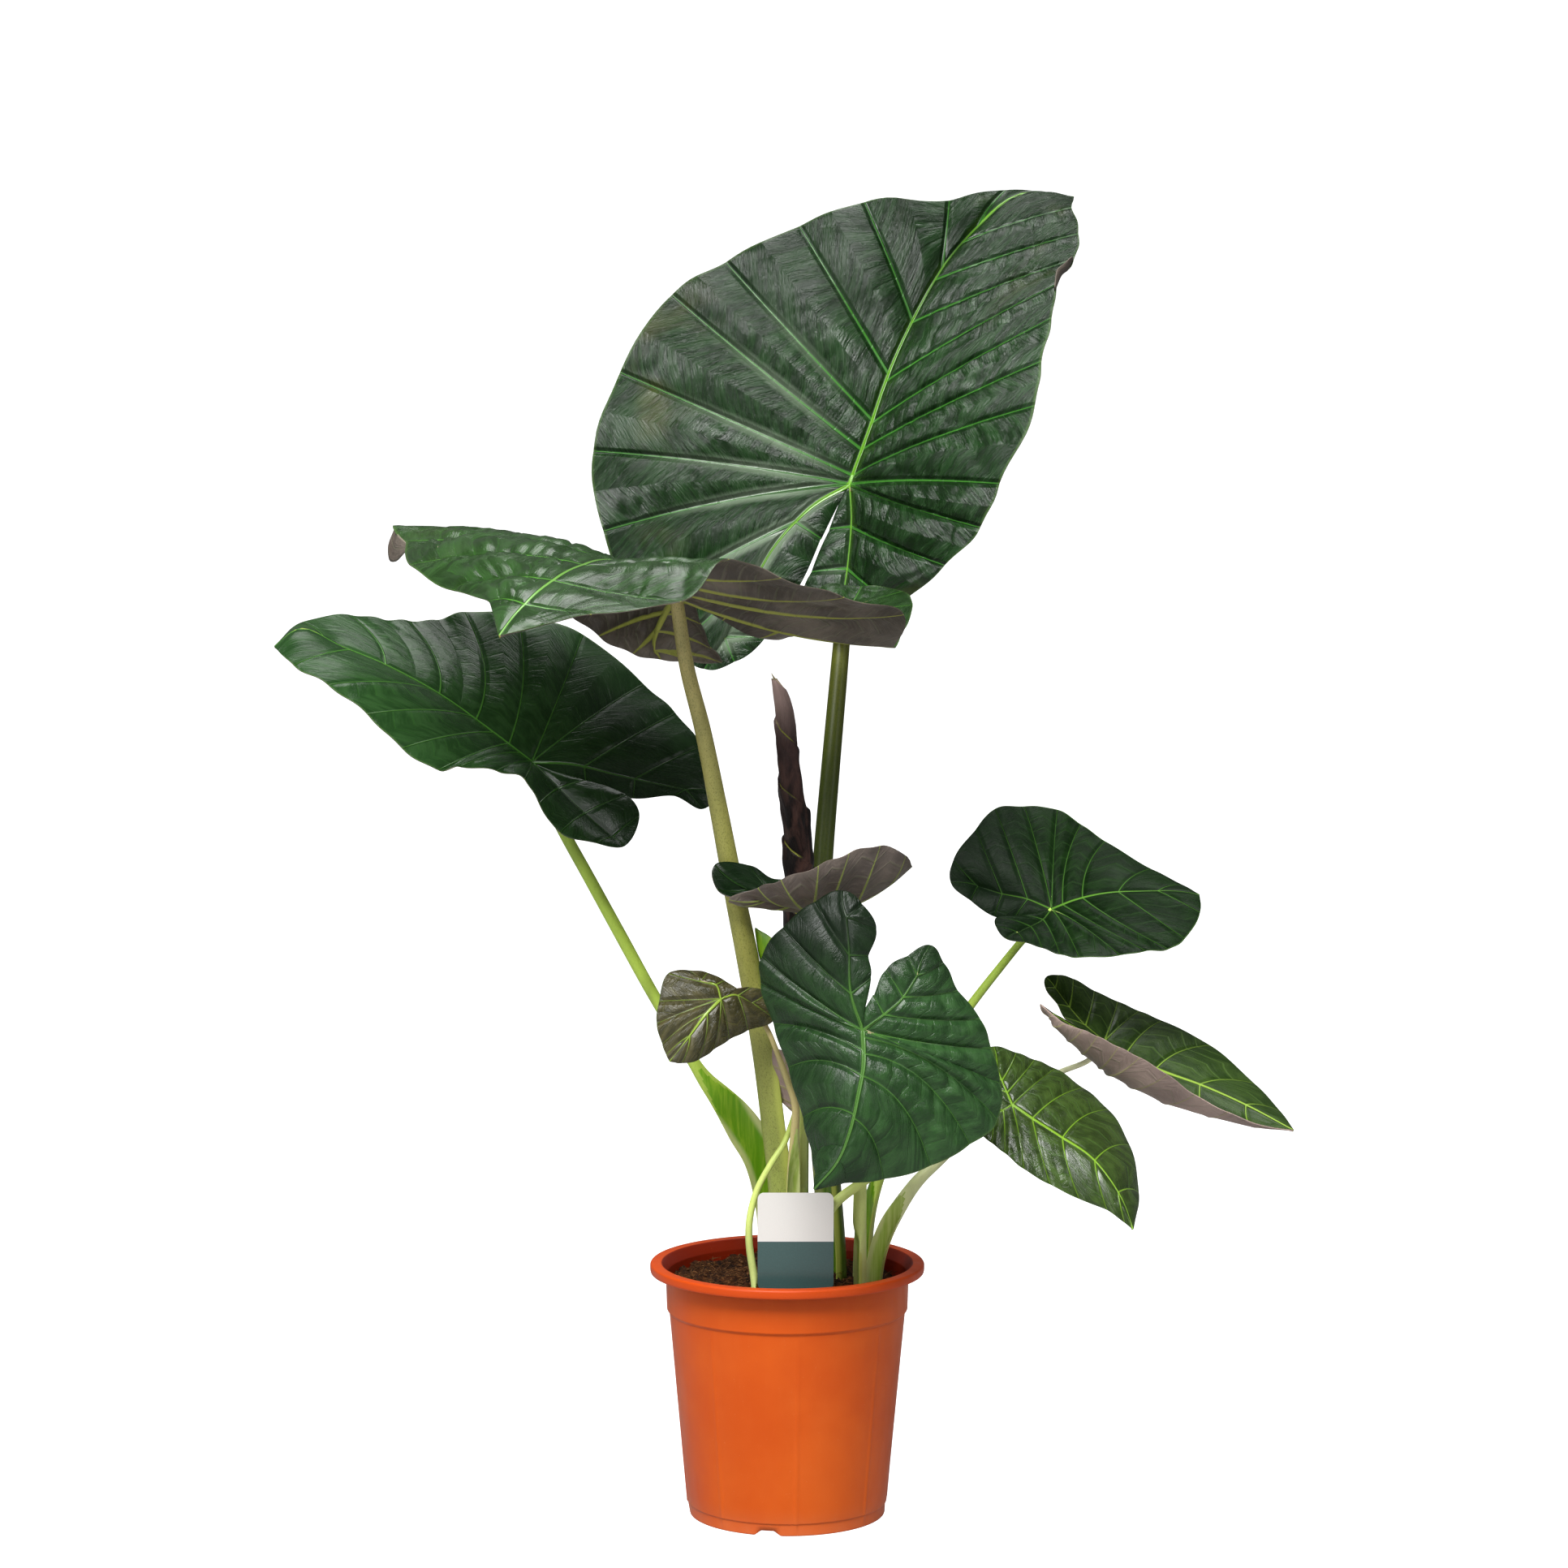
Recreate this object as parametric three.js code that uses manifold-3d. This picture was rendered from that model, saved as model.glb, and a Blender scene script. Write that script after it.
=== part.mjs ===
// A potted Alocasia: a tall shoot with three great shield leaves and a rolled young leaf, with smaller
// offsets round it, all in peat in a round plastic grow pot with a plain plant label.
// Millimetres, +Z up, +Y away from the viewer, origin at the centre of the pot's underside.
import * as THREE from "three";
import Module from "manifold-3d";

const wasm = await Module();
wasm.setup();

// Driving sizes of the pot
const RIM_RADIUS = 106;
const POT_HEIGHT = 197;
const LIP_HEIGHT = 7;
const COLLAR_RADIUS = 94;
const COLLAR_BOTTOM = 162;
const BODY_TOP = 157;
const BODY_TOP_RADIUS = 91.2;
const BODY_BOTTOM_RADIUS = 77.2;
const FOOT_HEIGHT = 9;
const FOOT_RADIUS = 75.8;
const WALL = 1.8;
const POT_SIDES = 36;
const FLOOR_UNDERSIDE = 4.5;
const FLOOR_TOP = 6.5;
const PAD_RADIUS = 26;
const NOTCH_COUNT = 3;
const NOTCH_WIDTH = 21;
const NOTCH_TOP_WIDTH = 10;
const NOTCH_HEIGHT = 4.2;
const NOTCH_ANGLE = 258.5;
const DRAIN_HOLE_COUNT = 6;
const DRAIN_HOLE_RADIUS = 6;
const DRAIN_RING_RADIUS = 52;
// Soil and label
const SOIL_TOP = 180;
const SOIL_LUMP = 2.6;
const SOIL_RINGS = 5;
const STEM_BURIED = 24;
const LABEL_LEFT = -22.5;
const LABEL_RIGHT = 35;
const LABEL_TOP = 265.5;
const LABEL_BOTTOM = 191;
const LABEL_THICKNESS = 0.8;
const LABEL_CORNER = 5;
const LABEL_DEPTH = -74;
const STAKE_WIDTH = 14;
const STAKE_BOTTOM = 140;
// Leaf tissue
const GAP = 0.3;
const LONGEST_SHORTFALL = 14;
const BLADE_THICKNESS = 1.2;
const STEM_SIDES = 8;
const YOUNG_SIDES = 10;
const SEAM_TWIST = 0.35;
const SEAM_STEP = 0.22;
// Shares of the way from a blade's ribs to its margin where its surface has a point, by the leaf's size
const BLADE_STEPS = {
  large: [0, 0.08, 0.3, 0.55, 0.8, 1],
  middling: [0, 0.1, 0.4, 0.72, 1],
  small: [0, 0.12, 0.55, 1],
};
// Between two veins' ends the margin runs nearly straight
const MARGIN_FLATNESS = 0.65;

// The front view that the plant's points are read from: an eye in front of the pot that looks down a
// little, and a square picture. A point is [column, row, depth]: pixels, and millimetres behind the
// pot's axis.
const EYE = [-2.5, -3500, 938];
const EYE_PITCH = THREE.MathUtils.degToRad(6.03);
const FOCAL_PIXELS = 5670;
const PICTURE_CENTRE = 966;

const seen = ([column, row, depth]) => {
  const across = (column - PICTURE_CENTRE) / FOCAL_PIXELS;
  const down = (row - PICTURE_CENTRE) / FOCAL_PIXELS;
  const reach = (depth - EYE[1]) / (Math.cos(EYE_PITCH) - down * Math.sin(EYE_PITCH));
  const drop = reach * (Math.sin(EYE_PITCH) + down * Math.cos(EYE_PITCH));
  return new THREE.Vector3(EYE[0] + across * reach, depth, EYE[2] - drop);
};

// Blades. Each has a junction where the stalk meets it, a midrib from there to the tip, and two halves.
// A half has the rib of its back lobe, and the points of its margin in order from the notch: down the
// lobe's inner edge, round the lobe's end, up its outer edge, past the veins that fan from the junction,
// and on by stations along the midrib. `stations` are the shares of the midrib where both halves' side
// veins leave it.
const BLADES = {
  leaf_crown: {
    grade: "large",
    upper: [-0.5, -1, 0.3],
    junction: [1048, 597, 100],
    midrib: [[1071, 533, 112], [1096, 460, 128], [1125, 395, 146], [1163, 328, 168], [1205, 280, 190],
      [1255, 241, 208]],
    tip: [1323, 243, 222],
    notch: [1036, 614, 98],
    stations: [0.03, 0.09, 0.18, 0.31, 0.46, 0.62, 0.8],
    relief: 4.5,
    rib: 4,
    halves: [
      {
        rib: [[1000, 625, 94], [955, 672, 90], [922, 730, 86], [893, 785, 84]],
        inner: [[1012, 664, 92], [985, 722, 88]],
        end: [[945, 785, 82], [905, 816, 78], [868, 825, 78]],
        outer: [[832, 800, 84], [788, 745, 92]],
        fan: [[742, 655, 104], [731, 556, 116]],
        side: [[764, 459, 126], [828, 364, 134], [893, 322, 140], [985, 279, 150], [1065, 249, 162],
          [1170, 245, 190], [1240, 234, 216]],
        bow: 0.05,
      },
      {
        rib: [[1050, 640, 96], [1046, 690, 90], [1040, 730, 84], [1034, 752, 82]],
        inner: [[1022, 652, 96], [999, 705, 94]],
        end: [[990, 735, 92], [1005, 768, 88], [1050, 778, 76]],
        outer: [[1105, 748, 50], [1165, 697, 8]],
        fan: [[1208, 650, -14], [1233, 596, -24]],
        side: [[1276, 500, -14], [1284, 445, 14], [1296, 392, 44], [1303, 350, 78], [1323, 320, 118],
          [1330, 288, 156], [1322, 256, 192]],
        bow: 0.06,
      },
    ],
  },
  leaf_level: {
    grade: "large",
    upper: [0, -0.3, 1],
    junction: [833, 735, -92],
    midrib: [[800, 708, -120], [752, 691, -160], [706, 702, -210], [668, 726, -258], [636, 757, -300]],
    tip: [615, 784, -330],
    notch: [856, 744, -80],
    stations: [0.06, 0.16, 0.3, 0.46, 0.64, 0.82],
    relief: 4,
    rib: 4,
    halves: [
      {
        rib: [[822, 752, -72], [812, 772, -52], [806, 788, -38], [806, 800, -28]],
        inner: [[863, 768, -66], [876, 798, -52]],
        end: [[890, 816, -44], [850, 815, -30], [815, 813, -20]],
        outer: [[780, 806, -8], [738, 784, 4]],
        fan: [[694, 748, 16], [640, 690, 24]],
        side: [[565, 656, 20], [486, 648, 0], [478, 688, -50], [505, 697, -120], [558, 728, -190],
          [600, 741, -262]],
        bow: 0.04,
      },
      {
        rib: [[880, 748, -72], [930, 766, -52], [985, 780, -32], [1030, 778, -16]],
        inner: [[890, 764, -62], [935, 786, -42]],
        end: [[975, 780, 0], [1010, 724, 34], [1062, 723, 38]],
        outer: [[1112, 729, 26], [1125, 746, 6]],
        fan: [[1112, 778, -20], [1102, 797, -50]],
        side: [[1113, 757, -98], [1040, 736, -140], [962, 712, -178], [900, 689, -212],
          [838, 741, -264], [728, 757, -300]],
        bow: -0.05,
      },
    ],
  },
  leaf_left: {
    grade: "middling",
    upper: [0, -0.7, 1],
    junction: [655, 940, -6],
    midrib: [[600, 898, -8], [541, 856, -12], [475, 820, -18], [420, 797, -24], [372, 775, -34]],
    tip: [338, 797, -52],
    notch: [674, 949, -6],
    stations: [0.04, 0.1, 0.23, 0.38, 0.56, 0.76],
    relief: 3.2,
    rib: 3.4,
    halves: [
      {
        rib: [[705, 942, 0], [760, 955, 8], [810, 966, 14], [845, 973, 18]],
        inner: [[722, 967, 2], [780, 984, 8]],
        end: [[830, 981, 14], [866, 997, 18], [884, 975, 26]],
        outer: [[864, 920, 40], [832, 879, 52]],
        fan: [[793, 843, 62], [718, 782, 74]],
        side: [[638, 758, 74], [572, 754, 66], [526, 766, 52], [480, 764, 40], [424, 758, 22],
          [372, 767, -8]],
        bow: 0.05,
      },
      {
        rib: [[690, 973, -18], [715, 998, -30], [740, 1020, -40], [755, 1032, -46]],
        inner: [[722, 962, -14], [773, 980, -26]],
        end: [[788, 1006, -38], [769, 1043, -52], [735, 1039, -58]],
        outer: [[690, 1026, -60], [664, 990, -56]],
        fan: [[646, 960, -56], [612, 950, -62]],
        side: [[566, 945, -76], [540, 949, -84], [495, 922, -88], [452, 880, -84], [404, 844, -78],
          [362, 820, -68]],
        bow: 0.07,
      },
    ],
  },
  leaf_cupped: {
    grade: "small",
    upper: [0, 0, 1],
    junction: [1000, 1124, -76],
    midrib: [[1030, 1120, -78], [1065, 1108, -76], [1098, 1088, -70]],
    tip: [1123, 1067, -62],
    notch: [976, 1121, -74],
    stations: [0.15, 0.4, 0.7],
    relief: 1.6,
    rib: 1.8,
    halves: [
      {
        rib: [[975, 1116, -84], [948, 1106, -92]],
        inner: [[940, 1118, -82]],
        end: [[908, 1115, -88], [898, 1108, -98]],
        outer: [[934, 1094, -108]],
        fan: [[962, 1084, -116], [1008, 1067, -122]],
        side: [[1046, 1051, -118], [1084, 1042, -104], [1116, 1053, -84]],
        bow: -0.12,
      },
      {
        rib: [[960, 1110, -70], [922, 1096, -66]],
        inner: [[930, 1112, -74]],
        end: [[884, 1096, -72], [880, 1066, -66]],
        outer: [[922, 1066, -56]],
        fan: [[955, 1083, -50], [1005, 1086, -44]],
        side: [[1050, 1076, -40], [1086, 1062, -42], [1112, 1058, -52]],
        bow: -0.1,
      },
    ],
  },
  leaf_front: {
    grade: "middling",
    upper: [0, -1, 0.2],
    junction: [1063, 1270, -150],
    midrib: [[1064, 1312, -160], [1057, 1352, -168], [1048, 1392, -174], [1032, 1432, -177]],
    tip: [1003, 1466, -178],
    notch: [1064, 1246, -146],
    stations: [0.08, 0.2, 0.38, 0.58, 0.78],
    relief: 2.6,
    rib: 2.8,
    halves: [
      {
        rib: [[1048, 1222, -146], [1046, 1170, -140], [1043, 1130, -134]],
        inner: [[1073, 1205, -140], [1071, 1178, -136]],
        end: [[1081, 1146, -130], [1062, 1114, -126], [1038, 1097, -124]],
        outer: [[1004, 1110, -124], [965, 1143, -122]],
        fan: [[939, 1178, -118], [937, 1212, -116]],
        side: [[953, 1262, -120], [970, 1316, -128], [990, 1378, -138], [1001, 1424, -150],
          [1004, 1448, -164]],
        bow: 0.06,
      },
      {
        rib: [[1088, 1251, -148], [1110, 1232, -144], [1130, 1202, -138]],
        inner: [[1076, 1226, -144], [1092, 1196, -138]],
        end: [[1118, 1178, -132], [1146, 1165, -126], [1163, 1186, -122]],
        outer: [[1180, 1221, -120], [1208, 1256, -116]],
        fan: [[1221, 1292, -114], [1233, 1336, -114]],
        side: [[1229, 1380, -120], [1196, 1411, -132], [1146, 1437, -146], [1088, 1453, -160],
          [1040, 1458, -170]],
        bow: 0.06,
      },
    ],
  },
  leaf_bronze: {
    grade: "small",
    upper: [-0.3, -1, 0.6],
    junction: [888, 1231, -86],
    midrib: [[868, 1252, -94], [848, 1279, -100]],
    tip: [825, 1308, -102],
    notch: [908, 1218, -80],
    stations: [0.25, 0.6],
    relief: 1.2,
    rib: 1.5,
    halves: [
      {
        rib: [[882, 1214, -84], [864, 1210, -84]],
        inner: [[893, 1209, -76]],
        end: [[872, 1199, -72], [848, 1196, -74]],
        outer: [[823, 1200, -80]],
        fan: [[812, 1234, -88], [809, 1262, -94]],
        side: [[816, 1287, -98], [821, 1300, -101]],
        bow: 0.05,
      },
      {
        rib: [[905, 1226, -82], [926, 1236, -74]],
        inner: [[925, 1217, -70]],
        end: [[946, 1224, -62], [953, 1256, -64]],
        outer: [[921, 1269, -72]],
        fan: [[898, 1281, -80], [878, 1294, -88]],
        side: [[860, 1306, -96], [840, 1310, -101]],
        bow: 0.08,
      },
    ],
  },
  leaf_right_high: {
    grade: "small",
    upper: [0.1, -0.8, 1],
    junction: [1296, 1121, 26],
    midrib: [[1327, 1109, 22], [1365, 1101, 18], [1410, 1099, 14], [1450, 1099, 8]],
    tip: [1478, 1103, 2],
    notch: [1276, 1128, 26],
    stations: [0.08, 0.22, 0.46, 0.72],
    relief: 2,
    rib: 2.4,
    halves: [
      {
        rib: [[1265, 1108, 32], [1232, 1101, 38], [1205, 1092, 44]],
        inner: [[1250, 1131, 28], [1225, 1130, 30]],
        end: [[1196, 1110, 34], [1172, 1088, 40], [1175, 1060, 50]],
        outer: [[1202, 1022, 66], [1226, 997, 80]],
        fan: [[1262, 994, 88], [1303, 998, 90]],
        side: [[1332, 1016, 82], [1362, 1037, 70], [1418, 1071, 46], [1458, 1091, 24]],
        bow: 0.06,
      },
      {
        rib: [[1284, 1135, 16], [1266, 1144, 8], [1254, 1150, 2]],
        inner: [[1252, 1129, 18], [1227, 1131, 10]],
        end: [[1227, 1142, 2], [1240, 1157, -6], [1262, 1161, -10]],
        outer: [[1284, 1168, -14], [1306, 1176, -18]],
        fan: [[1330, 1180, -22], [1380, 1177, -26]],
        side: [[1412, 1172, -28], [1440, 1170, -28], [1460, 1157, -24], [1479, 1125, -12]],
        bow: 0.08,
      },
    ],
  },
  leaf_right_outer: {
    grade: "small",
    upper: [0, -0.4, 1],
    junction: [1360, 1284, 34],
    midrib: [[1395, 1303, 26], [1432, 1320, 18], [1482, 1338, 8], [1540, 1364, -8]],
    tip: [1594, 1393, -26],
    notch: [1322, 1262, 34],
    stations: [0.12, 0.28, 0.5, 0.74],
    relief: 2,
    rib: 2,
    halves: [
      {
        rib: [[1336, 1263, 40], [1316, 1240, 46], [1300, 1218, 52]],
        inner: [[1311, 1254, 38], [1303, 1238, 42]],
        end: [[1288, 1218, 48], [1288, 1204, 54], [1304, 1201, 60]],
        outer: [[1322, 1206, 66], [1348, 1221, 74]],
        fan: [[1377, 1234, 80], [1404, 1246, 82]],
        side: [[1432, 1258, 80], [1492, 1289, 64], [1546, 1336, 34], [1578, 1370, 4]],
        bow: 0.05,
      },
      {
        rib: [[1336, 1272, 24], [1314, 1260, 14], [1298, 1250, 6]],
        inner: [[1310, 1255, 26], [1296, 1247, 18]],
        end: [[1282, 1237, 8], [1296, 1249, -8], [1312, 1261, -18]],
        outer: [[1334, 1269, -28], [1352, 1277, -34]],
        fan: [[1378, 1290, -40], [1404, 1303, -44]],
        side: [[1438, 1324, -46], [1472, 1349, -44], [1512, 1370, -40], [1556, 1387, -34]],
        bow: -0.27,
      },
    ],
  },
  leaf_right_low: {
    grade: "small",
    upper: [0.2, -1, 0.6],
    junction: [1247, 1362, -46],
    midrib: [[1272, 1379, -54], [1305, 1400, -62], [1345, 1427, -72], [1380, 1474, -86]],
    tip: [1396, 1515, -96],
    notch: [1230, 1353, -42],
    stations: [0.14, 0.34, 0.56, 0.78],
    relief: 2,
    rib: 2.2,
    halves: [
      {
        rib: [[1236, 1336, -36], [1228, 1316, -30]],
        inner: [[1216, 1336, -34], [1208, 1316, -28]],
        end: [[1210, 1296, -22], [1224, 1289, -16]],
        outer: [[1252, 1297, -6], [1275, 1306, 0]],
        fan: [[1300, 1317, 4]],
        side: [[1335, 1341, 2], [1366, 1368, -8], [1392, 1412, -26], [1403, 1470, -58]],
        bow: 0.06,
      },
      {
        rib: [[1228, 1374, -54], [1216, 1384, -60]],
        inner: [[1214, 1366, -48], [1200, 1376, -54]],
        end: [[1196, 1388, -62], [1208, 1398, -68]],
        outer: [[1222, 1409, -74], [1238, 1421, -78]],
        fan: [[1262, 1441, -82]],
        side: [[1294, 1460, -84], [1330, 1478, -86], [1364, 1491, -90], [1386, 1507, -94]],
        bow: 0.08,
      },
    ],
  },
  leaf_small: {
    grade: "small",
    upper: [0.5, 1, 0.2],
    junction: [982, 1362, -28],
    midrib: [[972, 1340, -32], [961, 1313, -36]],
    tip: [954, 1291, -36],
    notch: [983, 1369, -27],
    stations: [0.3, 0.65],
    relief: 0.8,
    rib: 1.2,
    halves: [
      {
        rib: [[977, 1366, -28]],
        inner: [],
        end: [[978, 1370, -27], [968, 1362, -26]],
        outer: [],
        fan: [[953, 1344, -24]],
        side: [[943, 1320, -26], [944, 1301, -30]],
        bow: -0.1,
      },
      {
        rib: [[988, 1364, -26]],
        inner: [],
        end: [[990, 1370, -25], [996, 1358, -23]],
        outer: [],
        fan: [[995, 1338, -22]],
        side: [[984, 1314, -24], [969, 1297, -30]],
        bow: -0.1,
      },
    ],
  },
};

// Stalks, from the soil up. `sheath` is where the stalk's base opens into a channel that holds the next
// leaf: its top as a share of the length, its width at the soil, and the way that it opens.
const STALKS = {
  stalk_level: {
    blade: "leaf_level",
    line: [[966, 1562, 0], [963, 1467, -6], [955, 1400, -12], [942, 1300, -22], [923, 1190, -32],
      [905, 1100, -45], [886, 1000, -58], [866, 900, -70], [846, 820, -80]],
    radii: [12, 9.4, 8.6, 6.6, 5],
    sheath: { top: 0.5, width: 31, opens: [1, 0.35, 0] },
  },
  stalk_crown: {
    blade: "leaf_crown",
    line: [[1026, 1552, 24], [1020, 1460, 28], [1012, 1360, 34], [1008, 1240, 42], [1010, 1140, 50],
      [1014, 1060, 58], [1023, 950, 74], [1034, 825, 98], [1041, 740, 114], [1046, 664, 118]],
    radii: [11, 9.6, 8, 7, 5.4],
    sheath: { top: 0.36, width: 30, opens: [-1, -0.5, 0] },
  },
  stalk_left: {
    blade: "leaf_left",
    line: [[956, 1556, 16], [953, 1490, 16], [938, 1428, 13], [917, 1392, 11], [902, 1370, 10],
      [886, 1350, 9], [869, 1330, 9], [853, 1306, 10], [803, 1222, 12], [765, 1153, 14],
      [725, 1080, 14], [694, 1024, 12], [670, 976, 6]],
    radii: [7, 6, 5, 4.6, 4.8, 4.6, 4.2],
    sheath: { top: 0.45, width: 29, opens: [0.2, -1, 0.3] },
  },
  stalk_front: {
    blade: "leaf_front",
    line: [[1059, 1580, -38], [1059, 1520, -44], [1060, 1458, -54], [1062, 1400, -70],
      [1064, 1340, -98], [1065, 1296, -128]],
    radii: [6, 5.4, 4.6, 3.8, 3.2],
    sheath: { top: 0.3, width: 14, opens: [-1, -0.3, 0] },
  },
  stalk_cupped: {
    blade: "leaf_cupped",
    line: [[991, 1580, -24], [990, 1520, -28], [989, 1460, -32], [989, 1400, -38], [992, 1300, -50],
      [994, 1200, -64], [997, 1140, -73]],
    radii: [4.6, 4, 3.6, 3.2, 2.4],
    sheath: { top: 0.35, width: 11, opens: [1, -0.4, 0] },
  },
  stalk_bronze: {
    blade: "leaf_bronze",
    line: [[974, 1588, -44], [975, 1520, -46], [976, 1467, -48], [979, 1400, -52], [980, 1362, -54],
      [972, 1336, -56], [958, 1298, -59], [943, 1264, -60], [926, 1246, -64], [904, 1237, -74]],
    radii: [6, 5, 3.4, 2, 1.7],
    sheath: { top: 0.56, width: 12, opens: [0.7, -1, 0] },
  },
  stalk_small: {
    blade: "leaf_small",
    line: [[931, 1590, -60], [923, 1530, -61], [924, 1500, -61], [933, 1466, -60], [950, 1434, -57],
      [966, 1409, -51], [975, 1385, -40]],
    radii: [3.8, 3, 2.6, 2.4, 1.8],
    sheath: { top: 0.22, width: 8, opens: [1, -0.2, 0] },
  },
  stalk_right_high: {
    blade: "leaf_right_high",
    line: [[1064, 1556, 16], [1068, 1500, 18], [1080, 1456, 22], [1110, 1384, 27], [1152, 1302, 33],
      [1195, 1240, 38], [1230, 1195, 40], [1262, 1156, 37]],
    radii: [7, 5.4, 4.2, 3.4, 2.8],
    sheath: { top: 0.3, width: 24, opens: [-1, -0.5, 0.3] },
  },
  stalk_right_outer: {
    blade: "leaf_right_outer",
    line: [[1078, 1572, -10], [1086, 1534, -12], [1104, 1494, -14], [1130, 1456, -10], [1160, 1428, -2],
      [1205, 1388, 14], [1254, 1350, 30], [1304, 1322, 42], [1342, 1306, 44]],
    radii: [6.6, 6.4, 3.4, 2.4, 2],
    sheath: { top: 0.34, width: 15, opens: [-0.6, -1, 0.4] },
  },
  stalk_right_low: {
    blade: "leaf_right_low",
    line: [[1004, 1582, -58], [1008, 1524, -62], [1026, 1486, -66], [1062, 1457, -62],
      [1112, 1426, -50], [1170, 1393, -36], [1222, 1374, -28]],
    radii: [4.6, 4.4, 3.6, 2.8, 2.2],
  },
};

// The rolled young leaf on its stalk: the two sides of its outline, and its depth at the bottom and top.
const YOUNG_LEAF = {
  left: [[985, 1556], [984, 1400], [981, 1260], [972, 1185], [966, 1143], [966, 1121], [967, 1049],
    [965, 1005], [960, 962], [957, 918], [954, 874], [952, 850], [951, 838]],
  right: [[995, 1556], [996, 1400], [996, 1260], [999, 1185], [1000, 1143], [1001, 1110], [1001, 1066],
    [996, 1020], [988, 975], [983, 918], [978, 878], [968, 850], [957, 834]],
  depths: [13, 4],
};

// Helpers for faceted solids: `points` are vectors, `faces` triples of their numbers.
const smoothPath = (points) => new THREE.CatmullRomCurve3(points, false, "centripetal");

const solidMesh = (points, faces) =>
  new wasm.Mesh({
    numProp: 3,
    vertProperties: new Float32Array(points.flatMap((point) => [point.x, point.y, point.z])),
    triVerts: new Uint32Array(faces.flat()),
  });

const solid = (points, faces) => new wasm.Manifold(solidMesh(points, faces));

// A block between two loops with as many points each, joined side by side.
const loft = (loops, closedEnds = true) => {
  const count = loops[0].length;
  const points = loops.flat();
  const faces = [];
  for (let ring = 0; ring + 1 < loops.length; ring += 1) {
    for (let side = 0; side < count; side += 1) {
      const next = (side + 1) % count;
      const low = ring * count;
      const high = low + count;
      faces.push([low + side, low + next, high + next], [low + side, high + next, high + side]);
    }
  }
  if (closedEnds) {
    const last = (loops.length - 1) * count;
    for (let side = 1; side + 1 < count; side += 1) {
      faces.push([0, side + 1, side], [last, last + side, last + side + 1]);
    }
  }
  return solid(points, faces);
};

// A profile of [radius, height] points turned about the upright axis. It starts and ends on the axis.
const turned = (profile, sides, settle = () => {}) => {
  const points = [];
  const rings = profile.map(([radius, height]) => {
    const first = points.length;
    const count = radius === 0 ? 1 : sides;
    for (let side = 0; side < count; side += 1) {
      const angle = (2 * Math.PI * side) / sides;
      points.push(new THREE.Vector3(radius * Math.cos(angle), radius * Math.sin(angle), height));
    }
    return (side) => first + (side % count);
  });
  points.forEach(settle);
  const faces = [];
  for (let ring = 0; ring + 1 < rings.length; ring += 1) {
    for (let side = 0; side < sides; side += 1) {
      const [low, high] = [rings[ring], rings[ring + 1]];
      const corners = [low(side), low(side + 1), high(side + 1), high(side)];
      faces.push([corners[0], corners[1], corners[2]], [corners[0], corners[2], corners[3]]);
    }
  }
  return solid(points, faces.filter(([a, b, c]) => a !== b && b !== c && c !== a));
};

const largestBody = (body) => {
  const bodies = body.decompose();
  bodies.sort((one, other) => other.volume() - one.volume());
  return bodies[0];
};

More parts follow.
